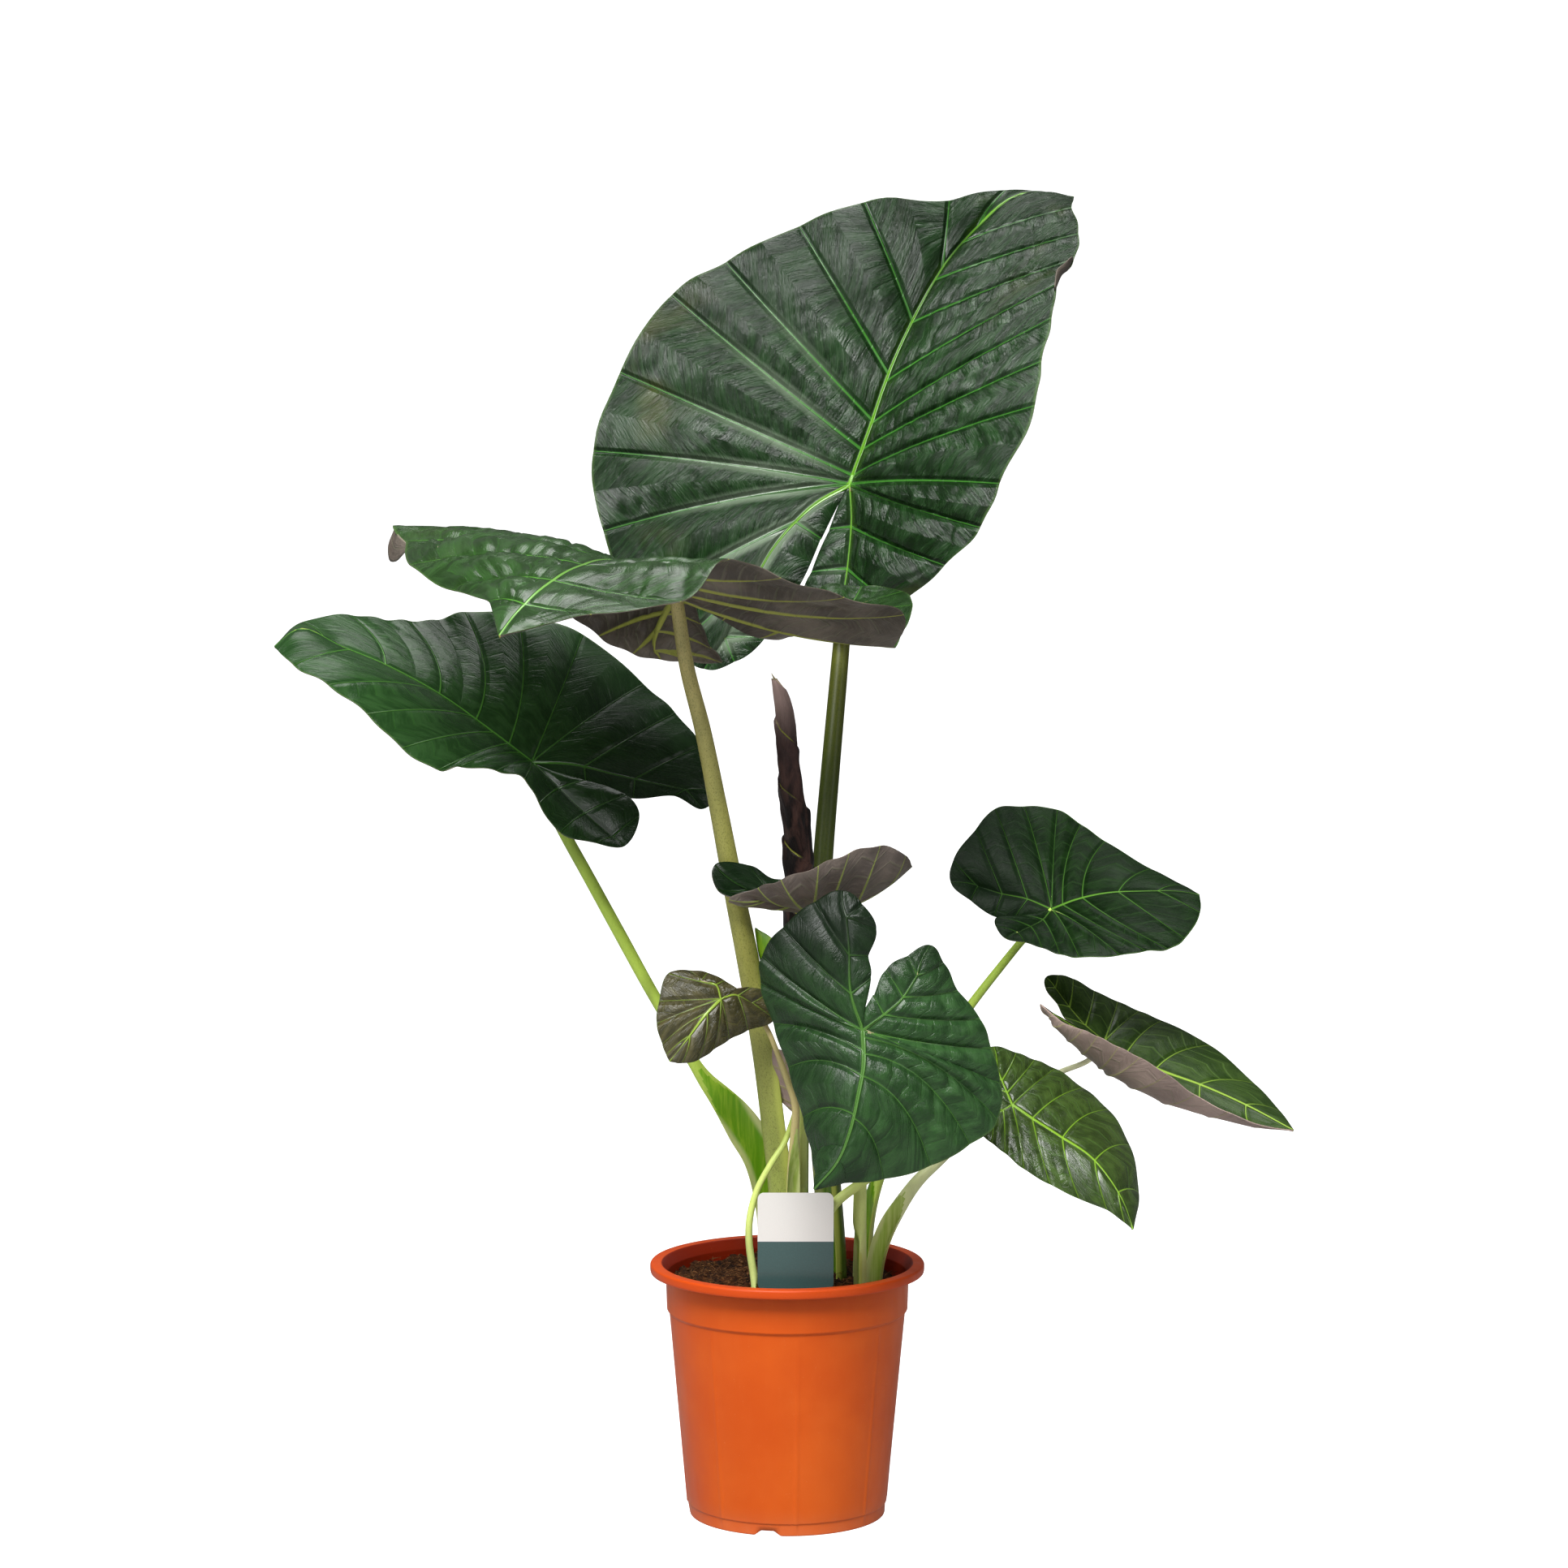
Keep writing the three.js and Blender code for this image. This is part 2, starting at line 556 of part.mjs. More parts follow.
// Pot
const buildPot = () => {
  const inside = (radius) => radius - WALL;
  const lipBottom = POT_HEIGHT - LIP_HEIGHT;
  let pot = turned([
    [0, 0],
    [PAD_RADIUS, 0],
    [PAD_RADIUS + 2, FLOOR_UNDERSIDE],
    [FOOT_RADIUS - 4, FLOOR_UNDERSIDE],
    [FOOT_RADIUS - 2.6, 0],
    [FOOT_RADIUS - 0.4, 0],
    [FOOT_RADIUS, 1],
    [FOOT_RADIUS + 0.4, FOOT_HEIGHT],
    [BODY_BOTTOM_RADIUS, FOOT_HEIGHT + 0.8],
    [BODY_TOP_RADIUS, BODY_TOP],
    [COLLAR_RADIUS - 0.7, COLLAR_BOTTOM],
    [COLLAR_RADIUS, lipBottom],
    [96.6, 193],
    [98.6, 195],
    [104, 195],
    [104.4, lipBottom],
    [105.6, lipBottom],
    [RIM_RADIUS, lipBottom + 2],
    [RIM_RADIUS, POT_HEIGHT - 1.2],
    [RIM_RADIUS - 1, POT_HEIGHT],
    [97.4, POT_HEIGHT],
    [96.4, 196.2],
    [94.2, 192.5],
    [inside(COLLAR_RADIUS), lipBottom - 1],
    [inside(COLLAR_RADIUS) - 0.6, COLLAR_BOTTOM],
    [inside(BODY_TOP_RADIUS), BODY_TOP],
    [inside(BODY_BOTTOM_RADIUS), FOOT_HEIGHT + 2],
    [inside(BODY_BOTTOM_RADIUS) - 2, FLOOR_TOP],
    [0, FLOOR_TOP],
  ], POT_SIDES);
  const radially = (angle, radius, aside, height) =>
    new THREE.Vector3(radius, aside, height).applyAxisAngle(new THREE.Vector3(0, 0, 1), angle);
  for (let count = 0; count < NOTCH_COUNT; count += 1) {
    const angle = THREE.MathUtils.degToRad(NOTCH_ANGLE + (360 * count) / NOTCH_COUNT);
    const loops = [FOOT_RADIUS - 12, FOOT_RADIUS + 6].map((radius) => [
      radially(angle, radius, -NOTCH_WIDTH / 2, -1),
      radially(angle, radius, NOTCH_WIDTH / 2, -1),
      radially(angle, radius, NOTCH_TOP_WIDTH / 2, NOTCH_HEIGHT),
      radially(angle, radius, -NOTCH_TOP_WIDTH / 2, NOTCH_HEIGHT),
    ]);
    pot = pot.subtract(loft(loops));
  }
  for (let count = 0; count < DRAIN_HOLE_COUNT; count += 1) {
    const angle = THREE.MathUtils.degToRad(NOTCH_ANGLE + (360 * (count + 0.5)) / DRAIN_HOLE_COUNT);
    const holeLoop = (height) =>
      Array.from({ length: 8 }, (_, side) => {
        const turn = (2 * Math.PI * side) / 8;
        const radius = DRAIN_RING_RADIUS + DRAIN_HOLE_RADIUS * Math.cos(turn);
        return radially(angle, radius, DRAIN_HOLE_RADIUS * Math.sin(turn), height);
      });
    pot = pot.subtract(loft([holeLoop(1), holeLoop(FLOOR_TOP + 2)]));
  }
  return pot;
};

// Soil: a block that fits the pot's inside, with a lumpy top that rises towards the back left.
const soilHeight = (x, y) => {
  const mound = 3.4 * Math.cos(Math.hypot(x + 24, y - 34) / 48);
  const lumps = Math.sin(x / 7.3 + 1.1) * Math.cos(y / 6.1) + 0.6 * Math.sin((x + y) / 4.7 + 0.6);
  return SOIL_TOP + mound + SOIL_LUMP * 0.6 * lumps;
};

const buildSoil = () => {
  const inside = (radius) => radius - WALL - GAP;
  const top = SOIL_TOP - 1;
  const edge = inside(COLLAR_RADIUS) - 0.5;
  const walls = [
    [edge, top],
    [inside(COLLAR_RADIUS) - 0.7, COLLAR_BOTTOM],
    [inside(BODY_TOP_RADIUS), BODY_TOP],
    [inside(BODY_BOTTOM_RADIUS), FOOT_HEIGHT + 2],
    [inside(BODY_BOTTOM_RADIUS) - 2.4, FLOOR_TOP + GAP],
  ];
  const surface = [[0, top]];
  for (let ring = 1; ring < SOIL_RINGS; ring += 1) {
    surface.push([(edge * ring) / SOIL_RINGS, top]);
  }
  const profile = [[0, FLOOR_TOP + GAP], ...walls.slice().reverse(), ...surface.reverse()];
  return turned(profile, POT_SIDES, (point) => {
    if (point.z === top && Math.hypot(point.x, point.y) < edge - 1) {
      point.z = soilHeight(point.x, point.y);
    }
  });
};

// Label: a card with rounded corners on a narrow stake, cut from one sheet.
const buildLabel = (inflate = 0) => {
  const left = LABEL_LEFT - inflate;
  const right = LABEL_RIGHT + inflate;
  const middle = (left + right) / 2;
  const stake = STAKE_WIDTH / 2 + inflate;
  const points = [];
  const arc = (x, z, from) => {
    for (let step = 0; step <= 3; step += 1) {
      const turn = from + (step * Math.PI) / 6;
      points.push([x + LABEL_CORNER * Math.cos(turn), z + LABEL_CORNER * Math.sin(turn)]);
    }
  };
  arc(right - LABEL_CORNER, LABEL_TOP + inflate - LABEL_CORNER, 0);
  arc(left + LABEL_CORNER, LABEL_TOP + inflate - LABEL_CORNER, Math.PI / 2);
  arc(left + LABEL_CORNER, LABEL_BOTTOM - inflate + LABEL_CORNER, Math.PI);
  points.push([middle - stake, LABEL_BOTTOM - inflate], [middle - stake, STAKE_BOTTOM + 8]);
  points.push([middle, STAKE_BOTTOM - inflate], [middle + stake, STAKE_BOTTOM + 8]);
  points.push([middle + stake, LABEL_BOTTOM - inflate]);
  arc(right - LABEL_CORNER, LABEL_BOTTOM - inflate + LABEL_CORNER, 1.5 * Math.PI);
  const half = LABEL_THICKNESS / 2 + inflate;
  const flat = points.map(([x, z]) => new THREE.Vector2(x, z));
  const triangles = THREE.ShapeUtils.triangulateShape(flat, []);
  const count = flat.length;
  const front = flat.map((point) => new THREE.Vector3(point.x, LABEL_DEPTH - half, point.y));
  const back = flat.map((point) => new THREE.Vector3(point.x, LABEL_DEPTH + half, point.y));
  const faces = [];
  triangles.forEach(([a, b, c]) => faces.push([a, b, c], [count + a, count + c, count + b]));
  for (let side = 0; side < count; side += 1) {
    const next = (side + 1) % count;
    faces.push([side, count + side, count + next], [side, count + next, next]);
  }
  return solid([...front, ...back], faces);
};

// Stalks: round tubes whose lower part widens into the open channel of a sheath.
const buildStalk = (name, inflate, shortfall) => {
  const { blade, line, radii, sheath } = STALKS[name];
  const shown = [...line, BLADES[blade].junction].map(seen);
  const foot = shown[0].clone();
  foot.z = SOIL_TOP - STEM_BURIED;
  const path = smoothPath([foot, ...shown]);
  const steps = Math.round(1.6 * shown.length);
  const opens = sheath ? new THREE.Vector3(...sheath.opens).normalize() : new THREE.Vector3(1, 0, 0);
  const loops = [];
  const end = 1 - shortfall / path.getLength();
  for (let step = 0; step <= steps; step += 1) {
    const share = (end * step) / steps;
    const centre = path.getPointAt(share);
    const along = path.getTangentAt(share);
    const beyond = { 0: -inflate, [steps]: inflate }[step] ?? 0;
    centre.addScaledVector(along, beyond);
    const front = opens.clone().addScaledVector(along, -opens.dot(along)).normalize();
    const side = new THREE.Vector3().crossVectors(along, front);
    const place = share * (radii.length - 1);
    const from = Math.min(Math.floor(place), radii.length - 2);
    const radius = THREE.MathUtils.lerp(radii[from], radii[from + 1], place - from);
    const spread = sheath ? 1 - THREE.MathUtils.smoothstep(share, sheath.top * 0.65, sheath.top) : 0;
    const widest = sheath ? Math.max(radius, sheath.width / 2) : radius;
    const halfWidth = THREE.MathUtils.lerp(radius, widest, spread);
    loops.push(Array.from({ length: STEM_SIDES }, (_, corner) => {
      const turn = (2 * Math.PI * (corner + 0.5)) / STEM_SIDES;
      const forward = Math.cos(turn) * radius;
      const hollow = forward > 0 ? forward * (1 - 0.8 * spread) : forward;
      const lateral = Math.sin(turn) * halfWidth;
      const curl = 0.35 * spread * radius * (lateral / halfWidth) ** 2;
      const grow = 1.3 * inflate;
      return centre.clone()
        .addScaledVector(front, hollow + curl + grow * Math.cos(turn))
        .addScaledVector(side, lateral + grow * Math.sin(turn));
    }));
  }
  return loft(loops);
};

// How far short of the blade's middle its stalk ends, so that the two lie a gap apart.
const shortfallOf = (name, blade) => {
  let shortfall = 0;
  while (shortfall < LONGEST_SHORTFALL && buildStalk(name, 0, shortfall).intersect(blade).volume() > 0) {
    shortfall += GAP;
  }
  return shortfall + GAP;
};

// Blades
const sideRows = (blade, half) => {
  const { stations } = blade;
  const rows = [{ part: "rib", share: 0, rim: blade.notch }];
  half.inner.forEach((rim, count) =>
    rows.push({ part: "rib", share: (count + 1) / (half.inner.length + 1), rim }));
  half.end.forEach((rim) => rows.push({ part: "rib", share: 1, rim }));
  half.outer.forEach((rim, count) =>
    rows.push({ part: "rib", share: 1 - (count + 1) / (half.outer.length + 1), rim }));
  half.fan.forEach((rim) => rows.push({ part: "rib", share: 0, rim }));
  half.side.forEach((rim, count) => rows.push({ part: "midrib", share: stations[count], rim }));
  rows.push({ part: "midrib", share: 1, rim: blade.tip });
  return rows;
};

const buildBlade = (name, inflate = 0) => {
  const blade = BLADES[name];
  const junction = seen(blade.junction);
  const midrib = smoothPath([blade.junction, ...blade.midrib, blade.tip].map(seen));
  const upper = new THREE.Vector3(...blade.upper).normalize();
  const points = [];
  const onSpine = [];
  const numbers = new Map();
  const faces = [];
  const numberOf = (point, spineShare) => {
    const key = point.toArray().map((value) => value.toFixed(4)).join(" ");
    if (!numbers.has(key)) {
      numbers.set(key, points.length);
      points.push(point);
      onSpine.push(spineShare);
    }
    return numbers.get(key);
  };
  blade.halves.forEach((half, hand) => {
    const rows = sideRows(blade, half);
    const rim = smoothPath(rows.map((row) => seen(row.rim)));
    const rib = smoothPath([blade.junction, ...half.rib].map(seen));
    const grid = [];
    const gaps = rows.length - 1;
    for (let count = 0; count <= gaps * 2; count += 1) {
      const gap = Math.min(Math.floor(count / 2), gaps - 1);
      const share = count / 2 - gap;
      const [from, to] = [rows[gap], rows[gap + 1]];
      const onMidrib = to.part === "midrib";
      const start = from.part === to.part ? from.share : 0;
      const spineShare = THREE.MathUtils.lerp(start, to.share, share);
      const spine = onMidrib ? midrib : rib;
      const inner = spineShare === 0 ? junction.clone() : spine.getPointAt(spineShare);
      const outer = rim.getPoint(count / (gaps * 2));
      outer.lerp(seen(from.rim).lerp(seen(to.rim), share), MARGIN_FLATNESS);
      const chord = outer.clone().sub(inner);
      const length = chord.length();
      outer.addScaledVector(chord.clone().normalize(), inflate);
      const along = spine.getTangentAt(spineShare);
      const normal = new THREE.Vector3().crossVectors(chord, along);
      normal.multiplyScalar(Math.sign(normal.dot(upper)) || 1).normalize();
      const ends = count === 0 || length < 1 ? 0 : 1;
      const control = inner.clone().add(outer).multiplyScalar(0.5);
      control.addScaledVector(normal, half.bow * length * 2 * ends);
      if (onMidrib) {
        control.addScaledVector(along, -0.12 * length * ends);
      }
      const pucker = share === 0 ? 0 : blade.relief * Math.min(1, length / 60);
      grid.push(BLADE_STEPS[blade.grade].map((reach) => {
        const point = inner.clone().multiplyScalar((1 - reach) ** 2);
        point.addScaledVector(control, 2 * reach * (1 - reach)).addScaledVector(outer, reach ** 2);
        point.addScaledVector(normal, pucker * Math.sin(Math.PI * reach) * ends);
        return numberOf(point, reach === 0 ? 1 - spineShare : 0);
      }));
    }
    for (let row = 0; row + 1 < grid.length; row += 1) {
      for (let step = 0; step + 1 < grid[row].length; step += 1) {
        const [low, high] = [grid[row], grid[row + 1]];
        const corners = [low[step], low[step + 1], high[step + 1], high[step]];
        const pair = [[corners[0], corners[1], corners[2]], [corners[0], corners[2], corners[3]]];
        pair.forEach(([a, b, c]) => faces.push(hand === 0 ? [a, b, c] : [a, c, b]));
      }
    }
  });
  const sheet = faces.filter(([a, b, c]) => a !== b && b !== c && c !== a);
  const normals = points.map(() => new THREE.Vector3());
  sheet.forEach(([a, b, c]) => {
    const edge = points[b].clone().sub(points[a]);
    const area = edge.cross(points[c].clone().sub(points[a]));
    [a, b, c].forEach((corner) => normals[corner].add(area));
  });
  const facing = Math.sign(normals.reduce((sum, normal) => sum + normal.dot(upper), 0));
  normals.forEach((normal) => normal.normalize().multiplyScalar(facing));
  const count = points.length;
  const half = BLADE_THICKNESS / 2 + inflate;
  const top = points.map((point, index) => point.clone().addScaledVector(normals[index], half));
  const under = points.map((point, index) =>
    point.clone().addScaledVector(normals[index], -half - blade.rib * onSpine[index]));
  const shell = [];
  const edges = new Set();
  sheet.forEach(([a, b, c]) => {
    const [p, q, r] = facing > 0 ? [a, b, c] : [a, c, b];
    shell.push([p, q, r], [count + p, count + r, count + q]);
    [[p, q], [q, r], [r, p]].forEach(([from, to]) => edges.add(`${from} ${to}`));
  });
  edges.forEach((edge) => {
    const [from, to] = edge.split(" ").map(Number);
    if (!edges.has(`${to} ${from}`)) {
      shell.push([from, count + from, count + to], [from, count + to, to]);
    }
  });
  return solid([...top, ...under], shell);
};

// The rolled young leaf: a slim spindle with a spiral seam, between the two sides of its outline.
const buildYoungLeaf = (inflate = 0) => {
  const levels = YOUNG_LEAF.left.length;
  const shown = YOUNG_LEAF.left.map(([leftColumn, leftRow], level) => {
    const [rightColumn, rightRow] = YOUNG_LEAF.right[level];
    const depth = THREE.MathUtils.lerp(YOUNG_LEAF.depths[0], YOUNG_LEAF.depths[1], level / (levels - 1));
    const left = seen([leftColumn, leftRow, depth]);
    const right = seen([rightColumn, rightRow, depth]);
    const centre = left.clone().add(right).multiplyScalar(0.5);
    const radius = left.distanceTo(right) / 2 + inflate;
    return Array.from({ length: YOUNG_SIDES }, (_, corner) => {
      const turn = (2 * Math.PI * corner) / YOUNG_SIDES + level * SEAM_TWIST;
      const lip = corner === 0 ? 1 : 1 - SEAM_STEP * (1 - corner / YOUNG_SIDES);
      return new THREE.Vector3(
        centre.x + radius * lip * Math.cos(turn),
        centre.y + radius * lip * Math.sin(turn),
        centre.z + (level === levels - 1 ? inflate : 0),
      );
    });
  });
  const foot = SOIL_TOP - STEM_BURIED - inflate;
  const buried = shown[0].map((point) => new THREE.Vector3(point.x, point.y, foot));
  return loft([buried, ...shown]);
};

// The pieces and what they are made of
const MATERIALS = {
  pot: ["terracotta plastic", 0xd1572a, 0.5],
  soil: ["peat", 0x2b1c14, 1],
  label: ["label card", 0xf2f0ee, 0.4],
  blade: ["leaf blade", 0x1f3f22, 0.4],
  stalk: ["leaf stalk", 0x8f9150, 0.6],
  young: ["young leaf", 0x3a2a28, 0.5],
};

const materials = Object.fromEntries(
  Object.entries(MATERIALS).map(([key, [name, color, roughness]]) => {
    const material = new THREE.MeshStandardMaterial({ color, roughness, metalness: 0 });
    material.name = name;
    return [key, material];
  }),
);

const group = new THREE.Group();
group.name = "potted_alocasia";

const addNode = (name, body, material) => {
  const { numProp, vertProperties, triVerts } = body.getMesh();
  const corners = new Float32Array(triVerts.length * 3);
  triVerts.forEach((vertex, index) => {
    corners.set(vertProperties.subarray(vertex * numProp, vertex * numProp + 3), index * 3);
  });
  const geometry = new THREE.BufferGeometry();
  geometry.setAttribute("position", new THREE.BufferAttribute(corners, 3));
  geometry.computeVertexNormals();
  const mesh = new THREE.Mesh(geometry, materials[material]);
  mesh.name = name;
  group.add(mesh);
};

// Each solid gives way to those before it, a gap wide: the blades first, and the soil last.
const overlapping = (one, other) =>
  [0, 1, 2].every((axis) => one.min[axis] < other.max[axis] && other.min[axis] < one.max[axis]);

const blades = {};
const room = [];
const giveWay = (body, own) => {
  const box = body.boundingBox();
  return room
    .filter((other) => other.name !== own && overlapping(other.box, box))
    .reduce((rest, other) => rest.subtract(other.body), body);
};
const keepRoom = (name, body) => room.push({ name, body, box: body.boundingBox() });

Object.keys(BLADES).forEach((name) => {
  blades[name] = buildBlade(name);
  addNode(name, blades[name], "blade");
  keepRoom(name, buildBlade(name, GAP));
});
addNode("leaf_young", giveWay(buildYoungLeaf()), "young");
keepRoom("leaf_young", buildYoungLeaf(GAP));
addNode("plant_label", buildLabel(), "label");
keepRoom("plant_label", buildLabel(GAP));
Object.entries(STALKS).forEach(([name, { blade }]) => {
  const shortfall = shortfallOf(name, blades[blade]);
  addNode(name, largestBody(giveWay(buildStalk(name, 0, shortfall), blade)), "stalk");
  keepRoom(name, buildStalk(name, GAP, shortfall));
});

addNode("pot", buildPot(), "pot");
let soil = buildSoil();
room.forEach(({ body }) => {
  soil = soil.subtract(body);
});
addNode("soil", largestBody(soil), "soil");

export default group;
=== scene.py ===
# The potted Alocasia dressed for its portrait. Metres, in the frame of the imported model.
import math

import bpy
import numpy as np
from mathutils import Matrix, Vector
from mathutils.bvhtree import BVHTree


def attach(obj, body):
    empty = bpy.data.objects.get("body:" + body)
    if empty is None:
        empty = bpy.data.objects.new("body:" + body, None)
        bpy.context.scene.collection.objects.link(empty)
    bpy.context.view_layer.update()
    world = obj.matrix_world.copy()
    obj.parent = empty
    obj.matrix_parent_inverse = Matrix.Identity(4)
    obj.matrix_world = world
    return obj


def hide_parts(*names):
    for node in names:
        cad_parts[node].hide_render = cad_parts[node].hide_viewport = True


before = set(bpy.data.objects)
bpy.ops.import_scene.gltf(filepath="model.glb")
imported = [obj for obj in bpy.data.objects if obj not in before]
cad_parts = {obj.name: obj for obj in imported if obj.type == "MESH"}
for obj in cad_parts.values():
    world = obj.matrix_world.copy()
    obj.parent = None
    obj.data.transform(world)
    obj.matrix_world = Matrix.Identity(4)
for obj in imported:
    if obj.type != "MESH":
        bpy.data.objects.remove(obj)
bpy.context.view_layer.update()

MM = 0.001

# The photograph's eye, in millimetres and pixels. A point is (column, row, depth behind the pot's axis).
EYE = (-2.5, -3500.0, 938.0)
EYE_PITCH = math.radians(6.03)
FOCAL_PIXELS = 5670.0
PICTURE_CENTRE = 966.0
PICTURE_WIDTH = 1932.0
SENSOR_MM = 36.0

# Pot, in millimetres
POT_SIDES = 360
RIM_RADIUS = 106
POT_HEIGHT = 197
LIP_HEIGHT = 7
COLLAR_RADIUS = 94
COLLAR_BOTTOM = 162
BODY_TOP = 157
BODY_TOP_RADIUS = 91.2
BODY_BOTTOM_RADIUS = 77.2
FOOT_HEIGHT = 9
FOOT_RADIUS = 75.8
WALL = 1.8
FLOOR_UNDERSIDE = 4.5
FLOOR_TOP = 6.5
PAD_RADIUS = 26
NOTCH_COUNT = 3
NOTCH_WIDTH = 21
NOTCH_TOP_WIDTH = 10
NOTCH_HEIGHT = 4.2
NOTCH_ANGLE = 258.5
FOOT_NUBS = range(230, 590, 45)
NUB_HEIGHT = 0.9
NUB_WIDTH = 1.3

# Soil and what lies on it, in millimetres
SOIL_TOP = 180
SOIL_SIDES = 260
SOIL_RINGS = 90
FIBRE_COUNT = 1500
FIBRE_RINGS = 7
FIBRE_SIDES = 6
FIBRE_FIELD = 88
FIBRE_LIMIT = 91
LONG_FIBRES = 0.6
LONG_LENGTHS = (7, 19)
SHORT_LENGTHS = (2, 5)
LONG_THICKNESSES = (0.15, 0.4)
SHORT_THICKNESSES = (0.5, 1.6)
BENDS = (-0.9, 0.9)
TILTS = (-0.2, 0.5)

# Label, in millimetres
LABEL_LEFT = -22.5
LABEL_RIGHT = 35
LABEL_TOP = 265.5
LABEL_BOTTOM = 191
LABEL_THICKNESS = 0.8
LABEL_CORNER = 5
LABEL_DEPTH = -74
LABEL_BOUNDARY = 228
STAKE_WIDTH = 14
STAKE_BOTTOM = 140
STAKE_POINT = 8

# Leaves and stalks, in millimetres
STEM_BURIED = 24
BLADE_THICKNESS = 1.2
ROW_SHARES = np.array([0, 0.03, 0.08, 0.16, 0.26, 0.37, 0.5, 0.63, 0.74, 0.84, 0.92, 0.97])
VEIN_SPACING = 13.0
FOLD_COLUMNS = 22
FOLD_ROWS = 12
FOLD_HALF_THICKNESS = 0.45
FOLD_SUNK = 1.6
UNDER_GAP = 0.25
STALK_SIDES = 28
STALK_RING_STEP = 4
YOUNG_SIDES = 48
YOUNG_RINGS_A_LEVEL = 34
SEAM_PITCH = 46.0
SEAM_STEP = 0.2
SEAM_START = 3.4
CREASE_DEPTH = 1.5
WRINKLE_DEPTH = 0.7
FOLD_DEPTH = 1.3
FULL_RELIEF_WIDTH = 60
# The colour of the pale sheen painted on the leaves' tops
PAINTED_SHEEN_COLOUR = "#93a58c"

# A margin: how far it is let out between its veins, and its waviness
SCALLOP = 0.9
SCALLOP_NEUTRAL = 0.6
WAVINESS = 1.3
WAVE_SCALE = 26

# Ribs on the underside: the midrib's width, its growth with the blade's "rib" and its taper, then a vein's
# width and height, and how much of a ridge shows on top
RIB_WIDTH = 1.2
RIB_WIDENING = 0.4
RIB_TAPER = 0.75
VEIN_WIDTH = 1.4
VEIN_HEIGHT = 0.4
TOP_RIDGE = 0.12

# A sheath, in shares of its height and of the stalk's radius
SHEATH_FULL = 0.65
SHEATH_EASE = 0.35
SHEATH_HOLLOW = 1.25
SHEATH_CURL = 0.5
NEAR_BLADE = 0.86
BLADE_REACH = 16

# The rolled leaf: where it starts to wind, in rows of its table, then shares of its radius
WOUND_FROM = 3.4
WOUND_OVER = 1.4
ROLL_SWELL = 1.1
ROLL_FOLDS = 0.1
ROLL_FLUTES = 0.05
HOOK_RINGS = 12

# Factors of the seeded noise
HASH_FACTORS = np.array([73856093, 19349663, 83492791])
HASH_SEED_FACTOR = 2654435761
HASH_MIX = 1274126177

# Studio
FLOOR_SIZE = 14.0
FLOOR_WHITE = 0.35
SEEN_WHITE = 1.2
WORLD_LIGHT = 0.14
SOFTBOXES = {
    "key_softbox": {"place": (-1.95, -2.15, 1.8), "target": (0, 0, 0.6), "size": (1.5, 2.3), "power": 29},
    "front_softbox": {"place": (-0.5, -2.3, 3.3), "target": (0, 0, 0.2), "size": (2.6, 1.6), "power": 225},
    "fill_softbox": {"place": (2.5, -1.9, 1.7), "target": (0, 0, 0.5), "size": (0.9, 1.7), "power": 11},
    "top_softbox": {"place": (0.3, 0.9, 3.0), "target": (0, 0, 0.5), "size": (1.6, 1.2), "power": 30},
}

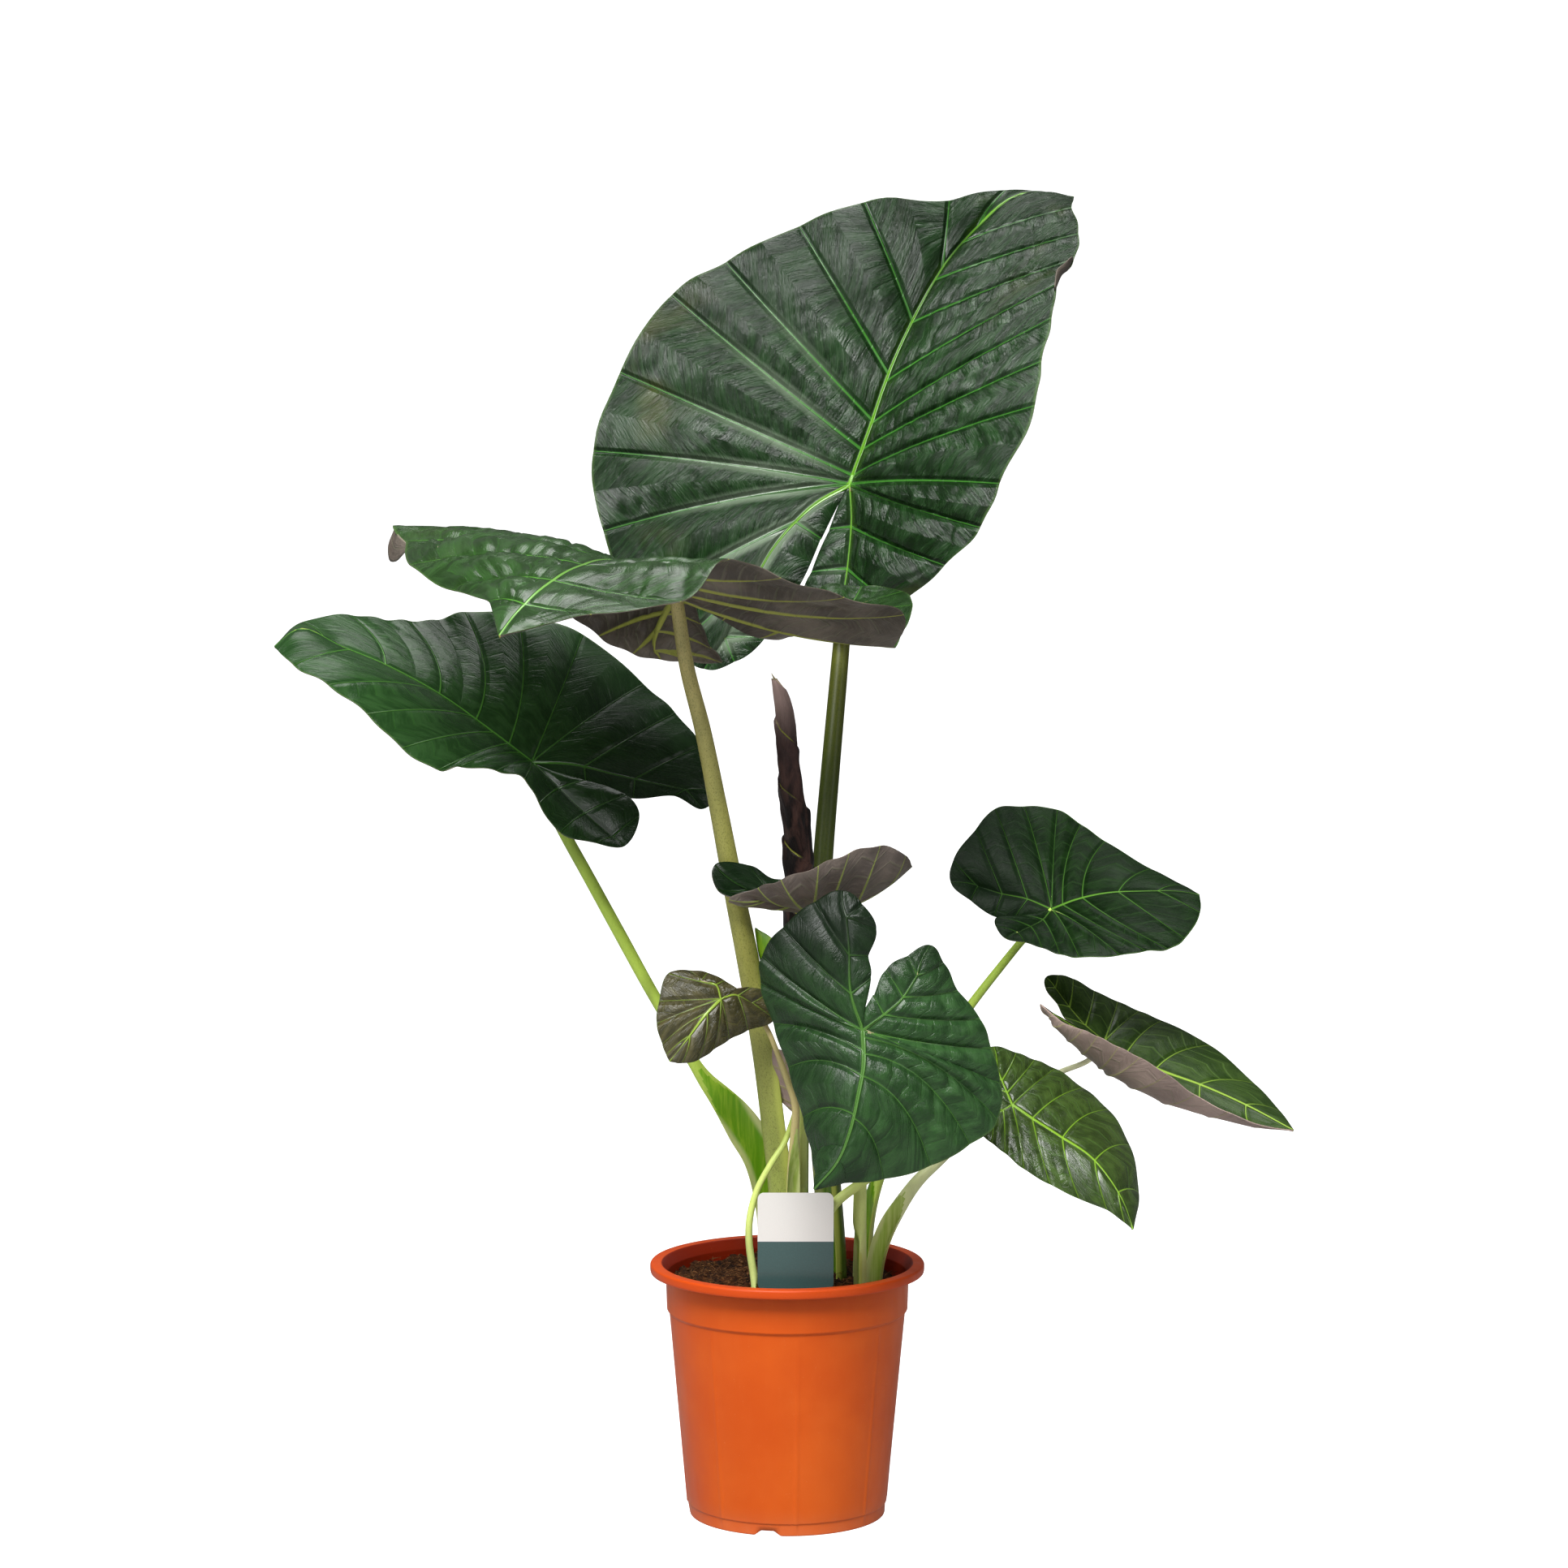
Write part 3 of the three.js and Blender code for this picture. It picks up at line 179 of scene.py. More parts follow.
# The leaves as read in the photograph. A half's margin runs from the notch round its lobe ("inner", "end",
# "outer", "fan") and along its "side" to the tip.
BLADES = {
    "leaf_crown": {
        "upper": [-0.5, -1, 0.3], "rib": 4, "relief": 4.5, "blister": 1.3,
        "junction": [1048, 597, 100], "tip": [1323, 243, 222], "notch": [1036, 614, 98],
        "midrib": [(1071, 533, 112), (1096, 460, 128), (1125, 395, 146), (1163, 328, 168),
            (1205, 280, 190), (1255, 241, 208)],
        "stations": [0.03, 0.09, 0.18, 0.31, 0.46, 0.62, 0.8],
        "halves": [{
            "bow": 0.05, "sweep": -0.04,
            "leave": [0.021, 0.085, 0.159, 0.277, 0.422, 0.575, 0.722],
            "rib": [(1000, 625, 94), (955, 672, 90), (922, 730, 86), (893, 785, 84)],
            "inner": [(1012, 664, 92), (985, 722, 88)],
            "end": [(945, 785, 82), (905, 816, 78), (868, 825, 78)],
            "outer": [(832, 800, 84), (788, 745, 92)], "fan": [(742, 655, 104), (731, 556, 116)],
            "side": [(764, 459, 126), (828, 364, 134), (893, 322, 140), (985, 279, 150),
                (1065, 249, 162), (1170, 245, 190), (1240, 234, 216)],
        }, {
            "bow": 0.06, "sweep": -0.08,
            "leave": [0.021, 0.087, 0.153, 0.259, 0.418, 0.541, 0.663],
            "rib": [(1050, 640, 96), (1046, 690, 90), (1040, 730, 84), (1034, 752, 82)],
            "inner": [(1022, 652, 96), (999, 705, 94)],
            "end": [(990, 735, 92), (1005, 768, 88), (1050, 778, 76)],
            "outer": [(1105, 748, 50), (1165, 697, 8)],
            "fan": [(1208, 650, -14), (1233, 596, -24)],
            "side": [(1276, 500, -14), (1284, 445, 14), (1296, 392, 44), (1303, 350, 78),
                (1323, 320, 118), (1330, 288, 156), (1322, 256, 192)],
        }],
    },
    "leaf_level": {
        "upper": [0, -0.3, 1], "rib": 4, "relief": 5.5, "blister": 3.0, "blister_size": 46,
        "junction": [833, 735, -92], "tip": [615, 784, -330], "notch": [856, 744, -80],
        "midrib": [(800, 708, -120), (752, 691, -160), (706, 702, -210), (668, 726, -258),
            (636, 757, -300)],
        "stations": [0.06, 0.16, 0.3, 0.46, 0.64, 0.82],
        "halves": [{
            "bow": 0.04,
            "rib": [(822, 752, -72), (812, 772, -52), (806, 788, -38), (806, 800, -28)],
            "inner": [(863, 768, -66), (876, 798, -52)],
            "end": [(890, 816, -44), (850, 815, -30), (815, 813, -20)],
            "outer": [(780, 806, -8), (738, 784, 4)], "fan": [(694, 748, 16), (640, 690, 24)],
            "side": [(565, 656, 20), (486, 648, 0), (499, 668, -44), (505, 697, -120),
                (558, 728, -190), (600, 741, -262)],
        }, {
            "bow": -0.05,
            "rib": [(880, 748, -72), (930, 766, -52), (985, 780, -32), (1030, 778, -16)],
            "inner": [(890, 764, -62), (935, 786, -42)],
            "end": [(975, 780, 0), (1010, 724, 34), (1062, 723, 38)],
            "outer": [(1112, 729, 26), (1125, 746, 6)],
            "fan": [(1112, 778, -20), (1102, 797, -50)],
            "side": [(1113, 757, -98), (1040, 736, -140), (962, 712, -178), (900, 689, -212),
                (838, 741, -264), (728, 757, -300)],
        }],
    },
    "leaf_left": {
        "upper": [0, -0.7, 1], "rib": 3.4, "relief": 0.8, "wave": 1.0, "junction": [655, 940, -6],
        "tip": [338, 797, -52], "notch": [674, 949, -6],
        "midrib": [(600, 898, -8), (541, 856, -12), (475, 820, -18), (420, 797, -24),
            (372, 775, -34)],
        "stations": [0.04, 0.1, 0.23, 0.38, 0.56, 0.76],
        "halves": [{
            "bow": 0.05, "sweep": -0.2, "leave": [0.095, 0.23, 0.3, 0.375, 0.47, 0.575, 0.8],
            "plain": [2, 4],
            "rib": [(705, 942, 0), (760, 955, 8), (810, 966, 14), (845, 973, 18)],
            "inner": [(722, 967, 2), (780, 984, 8)],
            "end": [(830, 981, 14), (866, 997, 18), (884, 975, 26)],
            "outer": [(864, 920, 40), (832, 879, 52)], "fan": [(793, 843, 62), (718, 782, 74)],
            "side": [(638, 758, 74), (572, 754, 66), (538, 764, 56), (503, 765, 46),
                (470, 763, 37), (430, 758, 24), (372, 767, -8)],
        }, {
            "bow": 0.07, "sweep": -0.02, "leave": [0.05, 0.1, 0.16, 0.25, 0.4, 0.7],
            "rib": [(690, 973, -18), (715, 998, -30), (740, 1020, -40), (755, 1032, -46)],
            "inner": [(722, 962, -14), (773, 980, -26)],
            "end": [(788, 1006, -38), (769, 1043, -52), (735, 1039, -58)],
            "outer": [(690, 1026, -60), (664, 990, -56)],
            "fan": [(646, 960, -56), (612, 950, -62)],
            "side": [(566, 945, -76), (540, 949, -84), (495, 922, -88), (452, 880, -84),
                (404, 844, -78), (362, 820, -68)],
        }],
    },
    "leaf_cupped": {
        "upper": [0, 0, 1], "rib": 1.8, "relief": 1.6, "junction": [1000, 1124, -76],
        "tip": [1123, 1067, -62], "notch": [976, 1121, -74],
        "midrib": [(1030, 1120, -78), (1065, 1108, -76), (1098, 1088, -70)],
        "stations": [0.15, 0.4, 0.7],
        "halves": [{
            "bow": -0.12, "rib": [(975, 1116, -84), (948, 1106, -92)],
            "inner": [(940, 1118, -82)], "end": [(908, 1115, -88), (898, 1108, -98)],
            "outer": [(934, 1094, -108)], "fan": [(962, 1084, -116), (1008, 1067, -122)],
            "side": [(1046, 1051, -118), (1084, 1042, -104), (1116, 1053, -84)],
        }, {
            "bow": -0.1, "rib": [(960, 1110, -70), (922, 1096, -66)], "inner": [(930, 1112, -74)],
            "end": [(884, 1096, -72), (880, 1066, -66)], "outer": [(922, 1066, -56)],
            "fan": [(955, 1083, -50), (1005, 1086, -44)],
            "side": [(1050, 1076, -40), (1086, 1062, -42), (1112, 1058, -52)],
        }],
    },
    "leaf_front": {
        "upper": [0, -1, 0.2], "rib": 2.8, "relief": 4.2, "blister": 0.5,
        "junction": [1063, 1270, -150], "tip": [1003, 1466, -178], "notch": [1064, 1246, -146],
        "midrib": [(1064, 1312, -160), (1057, 1352, -168), (1048, 1392, -174), (1032, 1432, -177)],
        "stations": [0.08, 0.2, 0.38, 0.58, 0.78],
        "halves": [{
            "bow": 0.06, "sweep": -0.24, "leave": [0.12, 0.27, 0.5, 0.7, 0.86], "plain": [3, 4],
            "rib": [(1048, 1222, -146), (1046, 1170, -140), (1043, 1130, -134)],
            "inner": [(1073, 1205, -140), (1071, 1178, -136)],
            "end": [(1081, 1146, -130), (1062, 1114, -126), (1038, 1097, -124)],
            "outer": [(1004, 1110, -124), (965, 1143, -122)],
            "fan": [(939, 1178, -118), (937, 1212, -116)],
            "side": [(953, 1262, -120), (970, 1316, -128), (990, 1378, -138), (1001, 1424, -150),
                (1004, 1448, -164)],
        }, {
            "bow": 0.06, "sweep": -0.24, "leave": [0.04, 0.14, 0.27, 0.52, 0.78], "plain": [4],
            "rib": [(1088, 1251, -148), (1110, 1232, -144), (1130, 1202, -138)],
            "inner": [(1076, 1226, -144), (1092, 1196, -138)],
            "end": [(1118, 1178, -132), (1146, 1165, -126), (1163, 1186, -122)],
            "outer": [(1180, 1221, -120), (1208, 1256, -116)],
            "fan": [(1221, 1292, -114), (1233, 1336, -114)],
            "side": [(1229, 1380, -120), (1196, 1411, -132), (1146, 1437, -146),
                (1088, 1453, -160), (1040, 1458, -170)],
        }],
    },
    "leaf_bronze": {
        "upper": [-0.3, -1, 0.6], "rib": 1.5, "relief": 1.2, "junction": [888, 1231, -86],
        "tip": [825, 1308, -102], "notch": [908, 1218, -80],
        "midrib": [(868, 1252, -94), (848, 1279, -100)], "stations": [0.25, 0.6],
        "halves": [{
            "bow": 0.05, "rib": [(882, 1214, -84), (864, 1210, -84)], "inner": [(893, 1209, -76)],
            "end": [(872, 1199, -72), (848, 1196, -74)], "outer": [(823, 1200, -80)],
            "fan": [(812, 1234, -88), (809, 1262, -94)],
            "side": [(816, 1287, -98), (821, 1300, -101)],
        }, {
            "bow": 0.08, "rib": [(905, 1226, -82), (926, 1236, -74)], "inner": [(925, 1217, -70)],
            "end": [(946, 1224, -62), (953, 1256, -64)], "outer": [(921, 1269, -72)],
            "fan": [(898, 1281, -80), (878, 1294, -88)],
            "side": [(860, 1306, -96), (840, 1310, -101)],
        }],
    },
    "leaf_right_high": {
        "upper": [0.1, -0.8, 1], "rib": 2.4, "relief": 1.0, "wave": 0.6,
        "junction": [1296, 1121, 26], "tip": [1478, 1103, 2], "notch": [1276, 1128, 26],
        "midrib": [(1327, 1109, 22), (1365, 1101, 18), (1410, 1099, 14), (1450, 1099, 8)],
        "stations": [0.08, 0.22, 0.46, 0.72],
        "halves": [{
            "bow": 0.06, "rib": [(1265, 1108, 32), (1232, 1101, 38), (1205, 1092, 44)],
            "inner": [(1250, 1131, 28), (1225, 1130, 30)],
            "end": [(1196, 1110, 34), (1172, 1088, 40), (1175, 1060, 50)],
            "outer": [(1202, 1022, 66), (1226, 997, 80)],
            "fan": [(1262, 994, 88), (1303, 998, 90)],
            "side": [(1332, 1016, 82), (1362, 1037, 70), (1418, 1071, 46), (1458, 1091, 24)],
        }, {
            "bow": 0.08, "rib": [(1284, 1135, 16), (1266, 1144, 8), (1254, 1150, 2)],
            "inner": [(1252, 1129, 18), (1227, 1131, 10)],
            "end": [(1227, 1142, 2), (1240, 1157, -6), (1262, 1161, -10)],
            "outer": [(1284, 1168, -14), (1306, 1176, -18)],
            "fan": [(1330, 1180, -22), (1380, 1177, -26)],
            "side": [(1412, 1172, -28), (1440, 1170, -28), (1460, 1157, -24), (1479, 1125, -12)],
        }],
    },
    "leaf_right_outer": {
        "upper": [0, -0.4, 1], "rib": 2, "relief": 1.0, "wave": 0.3, "junction": [1360, 1284, 34],
        "tip": [1594, 1393, -26], "notch": [1322, 1262, 34],
        "midrib": [(1395, 1303, 26), (1432, 1320, 18), (1482, 1338, 8), (1540, 1364, -8)],
        "stations": [0.12, 0.28, 0.5, 0.74],
        "halves": [{
            "bow": 0.05, "rib": [(1336, 1263, 40), (1316, 1240, 46), (1300, 1218, 52)],
            "inner": [(1311, 1254, 38), (1303, 1238, 42)],
            "end": [(1288, 1218, 48), (1288, 1204, 54), (1304, 1201, 60)],
            "outer": [(1322, 1206, 66), (1348, 1221, 74)],
            "fan": [(1377, 1234, 80), (1404, 1246, 82)],
            "side": [(1432, 1258, 80), (1492, 1289, 64), (1546, 1336, 34), (1578, 1370, 4)],
        }, {
            "bow": -0.27, "rib": [(1336, 1272, 24), (1314, 1260, 14), (1298, 1250, 6)],
            "inner": [(1310, 1255, 26), (1296, 1247, 18)],
            "end": [(1282, 1237, 8), (1296, 1249, -8), (1312, 1261, -18)],
            "outer": [(1334, 1269, -28), (1352, 1277, -34)],
            "fan": [(1378, 1290, -40), (1404, 1303, -44)],
            "side": [(1438, 1324, -46), (1472, 1349, -44), (1512, 1370, -40), (1556, 1387, -34)],
        }],
    },
    "leaf_right_low": {
        "upper": [0.2, -1, 0.6], "rib": 2.2, "relief": 1.1, "wave": 0.6,
        "junction": [1247, 1362, -46], "tip": [1396, 1515, -96], "notch": [1230, 1353, -42],
        "midrib": [(1272, 1379, -54), (1305, 1400, -62), (1345, 1427, -72), (1380, 1474, -86)],
        "stations": [0.14, 0.34, 0.56, 0.78],
        "halves": [{
            "bow": 0.06, "rib": [(1236, 1336, -36), (1228, 1316, -30)],
            "inner": [(1216, 1336, -34), (1208, 1316, -28)],
            "end": [(1210, 1296, -22), (1224, 1289, -16)],
            "outer": [(1252, 1297, -6), (1275, 1306, 0)], "fan": [(1300, 1317, 4)],
            "side": [(1335, 1341, 2), (1366, 1368, -8), (1392, 1412, -26), (1403, 1470, -58)],
        }, {
            "bow": 0.08, "rib": [(1228, 1374, -54), (1216, 1384, -60)],
            "inner": [(1214, 1366, -48), (1200, 1376, -54)],
            "end": [(1196, 1388, -62), (1208, 1398, -68)],
            "outer": [(1222, 1409, -74), (1238, 1421, -78)], "fan": [(1262, 1441, -82)],
            "side": [(1294, 1460, -84), (1330, 1478, -86), (1364, 1491, -90), (1386, 1507, -94)],
        }],
    },
    "leaf_small": {
        "upper": [0.5, 1, 0.2], "rib": 1.2, "relief": 0.8, "junction": [982, 1362, -28],
        "tip": [954, 1291, -36], "notch": [983, 1369, -27],
        "midrib": [(972, 1340, -32), (961, 1313, -36)], "stations": [0.3, 0.65],
        "halves": [{
            "bow": -0.1, "rib": [(977, 1366, -28)], "inner": [],
            "end": [(978, 1370, -27), (968, 1362, -26)], "outer": [], "fan": [(953, 1344, -24)],
            "side": [(943, 1320, -26), (944, 1301, -30)],
        }, {
            "bow": -0.1, "rib": [(988, 1364, -26)], "inner": [],
            "end": [(990, 1370, -25), (996, 1358, -23)], "outer": [], "fan": [(995, 1338, -22)],
            "side": [(984, 1314, -24), (969, 1297, -30)],
        }],
    },
}
STALKS = {
    "stalk_level": {
        "blade": "leaf_level", "radii": [12, 9.4, 8.6, 6.6, 5],
        "sheath": {"top": 0.5, "width": 31, "opens": [1, 0.35, 0]},
        "line": [(966, 1562, 0), (963, 1467, -6), (955, 1400, -12), (942, 1300, -22),
            (923, 1190, -32), (905, 1100, -45), (886, 1000, -58), (866, 900, -70),
            (846, 820, -80)],
    },
    "stalk_crown": {
        "blade": "leaf_crown", "radii": [11, 9.6, 8, 7, 5.4],
        "sheath": {"top": 0.36, "width": 30, "opens": [-1, -0.5, 0]},
        "line": [(1026, 1552, 24), (1020, 1460, 28), (1012, 1360, 34), (1008, 1240, 42),
            (1010, 1140, 50), (1014, 1060, 58), (1023, 950, 74), (1034, 825, 98),
            (1041, 740, 114), (1046, 664, 118)],
    },
    "stalk_left": {
        "blade": "leaf_left", "radii": [7, 6, 5, 4.6, 4.8, 4.6, 4.2],
        "sheath": {"top": 0.45, "width": 29, "opens": [0.2, -1, 0.3]},
        "line": [(956, 1556, 16), (953, 1490, 16), (938, 1428, 13), (917, 1392, 11),
            (902, 1370, 10), (886, 1350, 9), (869, 1330, 9), (853, 1306, 10), (803, 1222, 12),
            (765, 1153, 14), (725, 1080, 14), (694, 1024, 12), (670, 976, 6)],
    },
    "stalk_front": {
        "blade": "leaf_front", "radii": [6, 5.4, 4.6, 3.8, 3.2],
        "sheath": {"top": 0.3, "width": 14, "opens": [-1, -0.3, 0]},
        "line": [(1059, 1580, -38), (1059, 1520, -44), (1060, 1458, -54), (1062, 1400, -70),
            (1064, 1340, -98), (1065, 1296, -128)],
    },
    "stalk_cupped": {
        "blade": "leaf_cupped", "radii": [4.6, 4, 3.6, 3.2, 2.4],
        "sheath": {"top": 0.35, "width": 11, "opens": [1, -0.4, 0]},
        "line": [(991, 1580, -24), (990, 1520, -28), (989, 1460, -32), (989, 1400, -38),
            (992, 1300, -50), (994, 1200, -64), (997, 1140, -73)],
    },
    "stalk_bronze": {
        "blade": "leaf_bronze", "radii": [6, 5, 3.4, 2, 1.7],
        "sheath": {"top": 0.56, "width": 12, "opens": [0.7, -1, 0]},
        "line": [(974, 1588, -44), (975, 1520, -46), (976, 1467, -48), (979, 1400, -52),
            (980, 1362, -54), (972, 1336, -56), (958, 1298, -59), (943, 1264, -60),
            (926, 1246, -64), (904, 1237, -74)],
    },
    "stalk_small": {
        "blade": "leaf_small", "radii": [3.8, 3, 2.6, 2.4, 1.8],
        "sheath": {"top": 0.22, "width": 8, "opens": [1, -0.2, 0]},
        "line": [(931, 1590, -60), (923, 1530, -61), (924, 1500, -61), (933, 1466, -60),
            (950, 1434, -57), (966, 1409, -51), (975, 1385, -40)],
    },
    "stalk_right_high": {
        "blade": "leaf_right_high", "radii": [7, 5.4, 4.2, 3.4, 2.8],
        "sheath": {"top": 0.3, "width": 24, "opens": [-1, -0.5, 0.3]},
        "line": [(1064, 1556, 16), (1068, 1500, 18), (1080, 1456, 22), (1110, 1384, 27),
            (1152, 1302, 33), (1195, 1240, 38), (1230, 1195, 40), (1262, 1156, 37)],
    },
    "stalk_right_outer": {
        "blade": "leaf_right_outer", "radii": [6.6, 6.4, 3.4, 2.4, 2],
        "sheath": {"top": 0.34, "width": 15, "opens": [-0.6, -1, 0.4]},
        "line": [(1078, 1572, -10), (1086, 1534, -12), (1104, 1494, -14), (1130, 1456, -10),
            (1160, 1428, -2), (1205, 1388, 14), (1254, 1350, 30), (1304, 1322, 42),
            (1342, 1306, 44)],
    },
    "stalk_right_low": {
        "blade": "leaf_right_low", "radii": [4.6, 4.4, 3.6, 2.8, 2.2],
        "line": [(1004, 1582, -58), (1008, 1524, -62), (1026, 1486, -66), (1062, 1457, -62),
            (1112, 1426, -50), (1170, 1393, -36), (1222, 1374, -28)],
    },
}
YOUNG_LEAF = {
    "left": [(985, 1556), (984, 1400), (981, 1260), (972, 1185), (966, 1143), (966, 1121),
        (967, 1049), (965, 1005), (960, 962), (957, 918), (954, 874), (952, 850), (951, 838)],
    "right": [(995, 1556), (996, 1400), (996, 1260), (999, 1185), (1000, 1143), (1001, 1110),
        (1001, 1066), (996, 1020), (988, 975), (983, 918), (978, 878), (968, 850), (957, 834)],
    "depths": [13, 4],
}
HOOK = [(957, 842, 4), (955.5, 838, 4), (953, 834, 4), (950.5, 829.5, 4)]
HOOK_RADII = [1.5, 1.0, 0.7, 0.25]

# The hinge line and the free edge of each margin that turns over, and of the tall sheath's tip
LEVEL_FOLD = (
    [(484, 647, 2), (487, 648, 1), (492, 649, 0), (499, 656, -14), (505, 676, -56)],
    [(482, 652, 4), (478, 673, 6), (484, 689, 4), (499, 692, -10), (505, 684, -52)],
)
CROWN_FOLD = (
    [(1326, 313, 118), (1318, 327, 104), (1309, 340, 90), (1298, 356, 72)],
    [(1323, 312, 104), (1311, 321, 88), (1301, 336, 74), (1296, 353, 66)],
)
SHEATH_TIP = (
    [(930, 1143, -36), (934, 1170, -34), (942, 1205, -31), (951, 1245, -28)],
    [(932, 1144, -36), (953, 1158, -42), (964, 1186, -42), (968, 1245, -38)],
)


def seen(points):
    """Points read in the photograph, as millimetres in the frame."""
    points = np.atleast_2d(np.array(points, float))
    across = (points[:, 0] - PICTURE_CENTRE) / FOCAL_PIXELS
    down = (points[:, 1] - PICTURE_CENTRE) / FOCAL_PIXELS
    reach = (points[:, 2] - EYE[1]) / (math.cos(EYE_PITCH) - down * math.sin(EYE_PITCH))
    drop = reach * (math.sin(EYE_PITCH) + down * math.cos(EYE_PITCH))
    return np.stack([EYE[0] + across * reach, points[:, 2], EYE[2] - drop], axis=1)


def unit(vectors):
    """The same directions, a unit long."""
    return vectors / np.maximum(np.linalg.norm(vectors, axis=-1, keepdims=True), 1e-9)


def smooth_path(points, places):
    """Positions on a centripetal Catmull-Rom curve: place 0 is its first point, 1 its second, and so on."""
    points = np.array(points, float)
    ends = np.vstack([2 * points[0] - points[1], points, 2 * points[-1] - points[-2]])
    first = np.clip(np.floor(places).astype(int), 0, len(points) - 2)
    share = (places - first)[:, None]
    a, b, c, d = (ends[first + step] for step in range(4))
    gaps = []
    for start, stop in ((a, b), (b, c), (c, d)):
        away = np.linalg.norm(stop - start, axis=1)
        gaps.append(np.sqrt(np.maximum(away, 1e-4))[:, None])
    leave = ((b - a) / gaps[0] - (c - a) / (gaps[0] + gaps[1]) + (c - b) / gaps[1]) * gaps[1]
    arrive = ((c - b) / gaps[1] - (d - b) / (gaps[1] + gaps[2]) + (d - c) / gaps[2]) * gaps[1]
    square = -3 * b + 3 * c - 2 * leave - arrive
    cube = 2 * b - 2 * c + leave + arrive
    return b + leave * share + square * share**2 + cube * share**3


class Line:
    """A curve through points that is asked for by share of its length."""

    def __init__(self, points):
        self.points = smooth_path(points, np.linspace(0, len(points) - 1, 600))
        steps = np.linalg.norm(np.diff(self.points, axis=0), axis=1)
        self.lengths = np.concatenate([[0], np.cumsum(steps)])

    def at(self, shares):
        return by_axis(np.asarray(shares) * self.lengths[-1], self.lengths, self.points)

    def along(self, shares):
        shares = np.asarray(shares)
        return unit(self.at(np.minimum(shares + 0.01, 1)) - self.at(np.maximum(shares - 0.01, 0)))


def by_axis(wanted, known, points):
    """Points between known ones, each axis read off by itself."""
    return np.stack([np.interp(wanted, known, points[:, axis]) for axis in range(3)], axis=1)


def eased(share):
    """A share from 0 to 1 that starts and stops gently."""
    return share * share * (3 - 2 * share)


def lattice_noise(points, scale, seed):
    """Smooth noise from -1 to 1 at points, with lumps about `scale` across."""
    cells = np.asarray(points, float) / scale
    low = np.floor(cells).astype(np.int64)
    part = eased(cells - low)
    total = np.zeros(len(cells))
    for corner in range(8):
        offset = np.array([corner & 1, corner >> 1 & 1, corner >> 2 & 1])
        spot = (low + offset) * HASH_FACTORS
        mixed = spot[:, 0] ^ spot[:, 1] ^ spot[:, 2] ^ seed * HASH_SEED_FACTOR
        mixed = (mixed ^ (mixed >> 13)) * HASH_MIX
        value = ((mixed ^ (mixed >> 16)) & 0xFFFF) / 32767.5 - 1
        total += np.prod(np.where(offset == 1, part, 1 - part), axis=1) * value
    return total


def tube_faces(rings, sides, first=0):
    """The faces of a closed tube of rings, with a cap at each end. `first` is its first point."""
    faces = []
    for low in range(first, first + (rings - 1) * sides, sides):
        for corner in range(sides):
            after = (corner + 1) % sides
            faces.append([low + corner, low + after, low + sides + after, low + sides + corner])
    last = first + (rings - 1) * sides
    faces.append([first + corner for corner in reversed(range(sides))])
    faces.append([last + corner for corner in range(sides)])
    return faces


def shell_faces(cells, count):
    """A sheet made a shell: its cells, the same cells `count` points on and turned over, and its rim."""
    used = {(cell[position - 1], corner) for cell in cells for position, corner in enumerate(cell)}
    rim = sorted((one, other) for one, other in used if (other, one) not in used)
    under = [[count + corner for corner in reversed(cell)] for cell in cells]
    return [*cells, *under, *([one, count + one, count + other, other] for one, other in rim)], rim


def add_object(name, data):
    """A new object in the scene."""
    made = bpy.data.objects.new(name, data)
    bpy.context.scene.collection.objects.link(made)
    return made


def add_piece(name, points, faces, node, materials, layers=None, material_of=None, sharp=None):
    """A mesh piece from millimetre points that rides on the body and stands for a CAD node."""
    mesh = bpy.data.meshes.new(name)
    mesh.from_pydata((np.asarray(points) * MM).tolist(), [], [list(map(int, face)) for face in faces])
    for material in materials:
        mesh.materials.append(material)
    mesh.polygons.foreach_set("use_smooth", np.ones(len(mesh.polygons), bool))
    if material_of is not None:
        mesh.polygons.foreach_set("material_index", np.asarray(material_of, np.int32))
    corners = np.empty(len(mesh.loops), np.int32)
    mesh.loops.foreach_get("vertex_index", corners)
    for layer_name, values in (layers or {}).items():
        layer = mesh.uv_layers.new(name=layer_name)
        layer.data.foreach_set("uv", np.asarray(values, np.float32)[corners].ravel())
    if sharp is not None:
        ends = np.empty(len(mesh.edges) * 2, np.int32)
        mesh.edges.foreach_get("vertices", ends)
        flags = np.asarray(sharp)[ends.reshape(-1, 2)]
        mesh.edges.foreach_set("use_edge_sharp", (flags[:, 0] > 0) & (flags[:, 0] == flags[:, 1]))
    mesh.update()
    piece = add_object(name, mesh)
    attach(piece, "root")
    if node:
        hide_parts(node)
    return piece


# Blades
def control_rows(blade, half):
    """A half's rows from the notch round to the tip: what each starts on, the share along it and the
    margin point. The second result holds the rows that carry no vein."""
    inner, outer = len(half["inner"]), len(half["outer"])
    rows = [("rib", 0.0, blade["notch"])]
    rows += [("rib", (count + 1) / (inner + 1), point) for count, point in enumerate(half["inner"])]
    rows += [("rib", 1.0, point) for point in half["end"]]
    rows += [("rib", 1 - (count + 1) / (outer + 1), point) for count, point in enumerate(half["outer"])]
    rows += [("rib", 0.0, point) for point in half["fan"]]
    first_side = len(rows)
    leave = half.get("leave", blade["stations"])
    rows += [("midrib", share, point) for share, point in zip(leave, half["side"])]
    rows += [("midrib", 1.0, blade["tip"])]
    return rows, {0, len(rows) - 1} | {first_side + index for index in half.get("plain", [])}


def distance_to_line(points, line):
    """The distance from each point to a line of points."""
    start, step = line[:-1], np.diff(line, axis=0)
    away = points[:, None] - start[None]
    share = np.clip((away * step[None]).sum(2) / np.maximum((step * step).sum(1), 1e-9)[None], 0, 1)
    return np.sqrt(((away - share[..., None] * step[None]) ** 2).sum(2).min(1))


